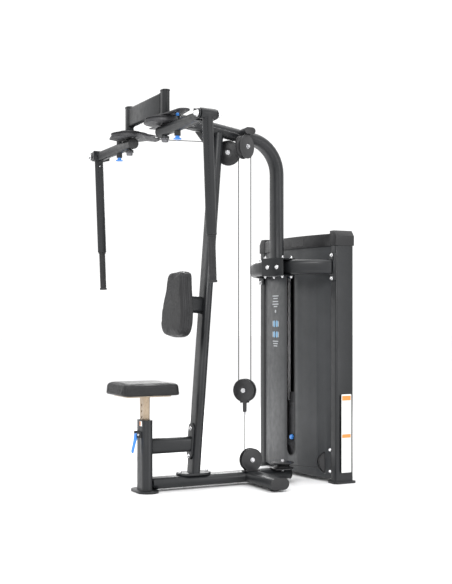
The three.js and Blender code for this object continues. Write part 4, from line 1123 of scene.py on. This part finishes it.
def tray_mat():
    """A ribbed rubber mat in the top tray."""
    low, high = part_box("top_tray")
    bm = bmesh.new()
    x0, x1 = low.x + 0.034, high.x - 0.034
    y0, y1 = at(0, 1066, 0).y, at(0, 1128, 0).y
    floor = low.z + 0.022
    ribs = 9
    profile = []
    for i in range(ribs):
        a = y0 + (y1 - y0) * i / ribs
        b = y0 + (y1 - y0) * (i + 0.55) / ribs
        profile += [(a, floor + 0.002), (a + 0.0005, floor + 0.0035), (b, floor + 0.0035),
                    (b + 0.0005, floor + 0.002)]
    profile += [(y1, floor + 0.002), (y1, floor + 0.0002), (y0, floor + 0.0002)]
    skin(bm, [[Vector((x, y, z)) for y, z in profile] for x in (x0, x1)])
    to_object("tray_mat", bm, GRIP_RUBBER, "frame", 30)


def panel_screws():
    low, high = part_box("rear_panel")
    places = []
    for x in (low.x + 0.025, (low.x + high.x) / 2, high.x - 0.025):
        for z in (0.06, 0.36, 0.67, 0.98, 1.29):
            places.append((Vector((x, high.y, z)), Y))
    fasteners("rear_screws", "frame", BLACK_PLASTIC, button_screw_into, places, 0.0058)
    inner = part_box("upright_near")[0].x
    near_x = inner + 0.016
    places = [(Vector((near_x, at(0, 1034, 0).y, z)), -Y) for z in (0.062, 0.182)]
    fasteners("pulley_mount_bolts", "frame", CHROME, hex_bolt_into, places, 0.0070)


# ------------------------------------------------------------------ studio

def camera():
    """Eye level, a little above the seat, from the machine's front left."""
    data = bpy.data.cameras.new("camera")
    data.lens = 64.2
    data.sensor_width = 36
    data.shift_y = 0.043
    eye = bpy.data.objects.new("camera", data)
    eye.location = at(5098, -2085, 920)
    eye.rotation_euler = (math.radians(90), 0, math.radians(63.3))
    bpy.context.scene.collection.objects.link(eye)
    bpy.context.scene.camera = eye


def area_light(name, place, target, size, power, spread=180):
    data = bpy.data.lights.new(name, "AREA")
    data.shape = "RECTANGLE"
    data.size, data.size_y = size
    data.energy = power
    data.spread = math.radians(spread)
    lamp = bpy.data.objects.new(name, data)
    lamp.location = place
    lamp.rotation_euler = (Vector(target) - Vector(place)).to_track_quat("-Z", "Y").to_euler()
    bpy.context.scene.collection.objects.link(lamp)


def studio():
    """A pale floor that meets a pale backdrop, and large soft lights."""
    bpy.context.scene.view_settings.view_transform = "Standard"
    world = bpy.data.worlds.new("studio")
    bpy.context.scene.world = world
    world.use_nodes = True
    background = world.node_tree.nodes["Background"]
    background.inputs["Color"].default_value = (1.0, 1.0, 1.0, 1)
    background.inputs["Strength"].default_value = 1.15

    mesh = bpy.data.meshes.new("floor")
    bm = bmesh.new()
    bmesh.ops.create_grid(bm, x_segments=8, y_segments=8, size=40)
    bm.to_mesh(mesh)
    bm.free()
    floor = bpy.data.objects.new("floor", mesh)
    bpy.context.scene.collection.objects.link(floor)
    tree = Tree("floor", (0.88, 0.88, 0.885), 0.75)
    tree.colour(tree.noise(0.8, 2), (0.3, (0.87, 0.87, 0.875)), (0.7, (0.89, 0.89, 0.895)))
    mesh.materials.append(tree.material)

    aim = Vector((0, 0, 1.0))
    area_light("key", (2.6, -3.4, 4.2), aim, (2.4, 2.4), 130)
    area_light("fill", (5.0, 1.5, 2.2), aim, (2.0, 3.0), 50)
    area_light("top", (0.0, 0.5, 4.6), aim, (3.5, 3.5), 75)
    area_light("rim", (-3.6, 1.6, 3.0), aim, (1.6, 3.0), 90)


camera()
studio()
paint_cad_nodes()
seat_pad()
back_pad()
make_pulleys()
make_cable_runs()
cable_fittings()
frame_fasteners()
pivot_hardware()
end_caps()
welds()
make_grips()
make_stop_lugs()
make_pop_pins()
make_seat_lever()
upright_label()
seat_post_label()
panel_print()
tray_badge()
slot_trim()
plate_numbers()
tray_mat()
panel_screws()
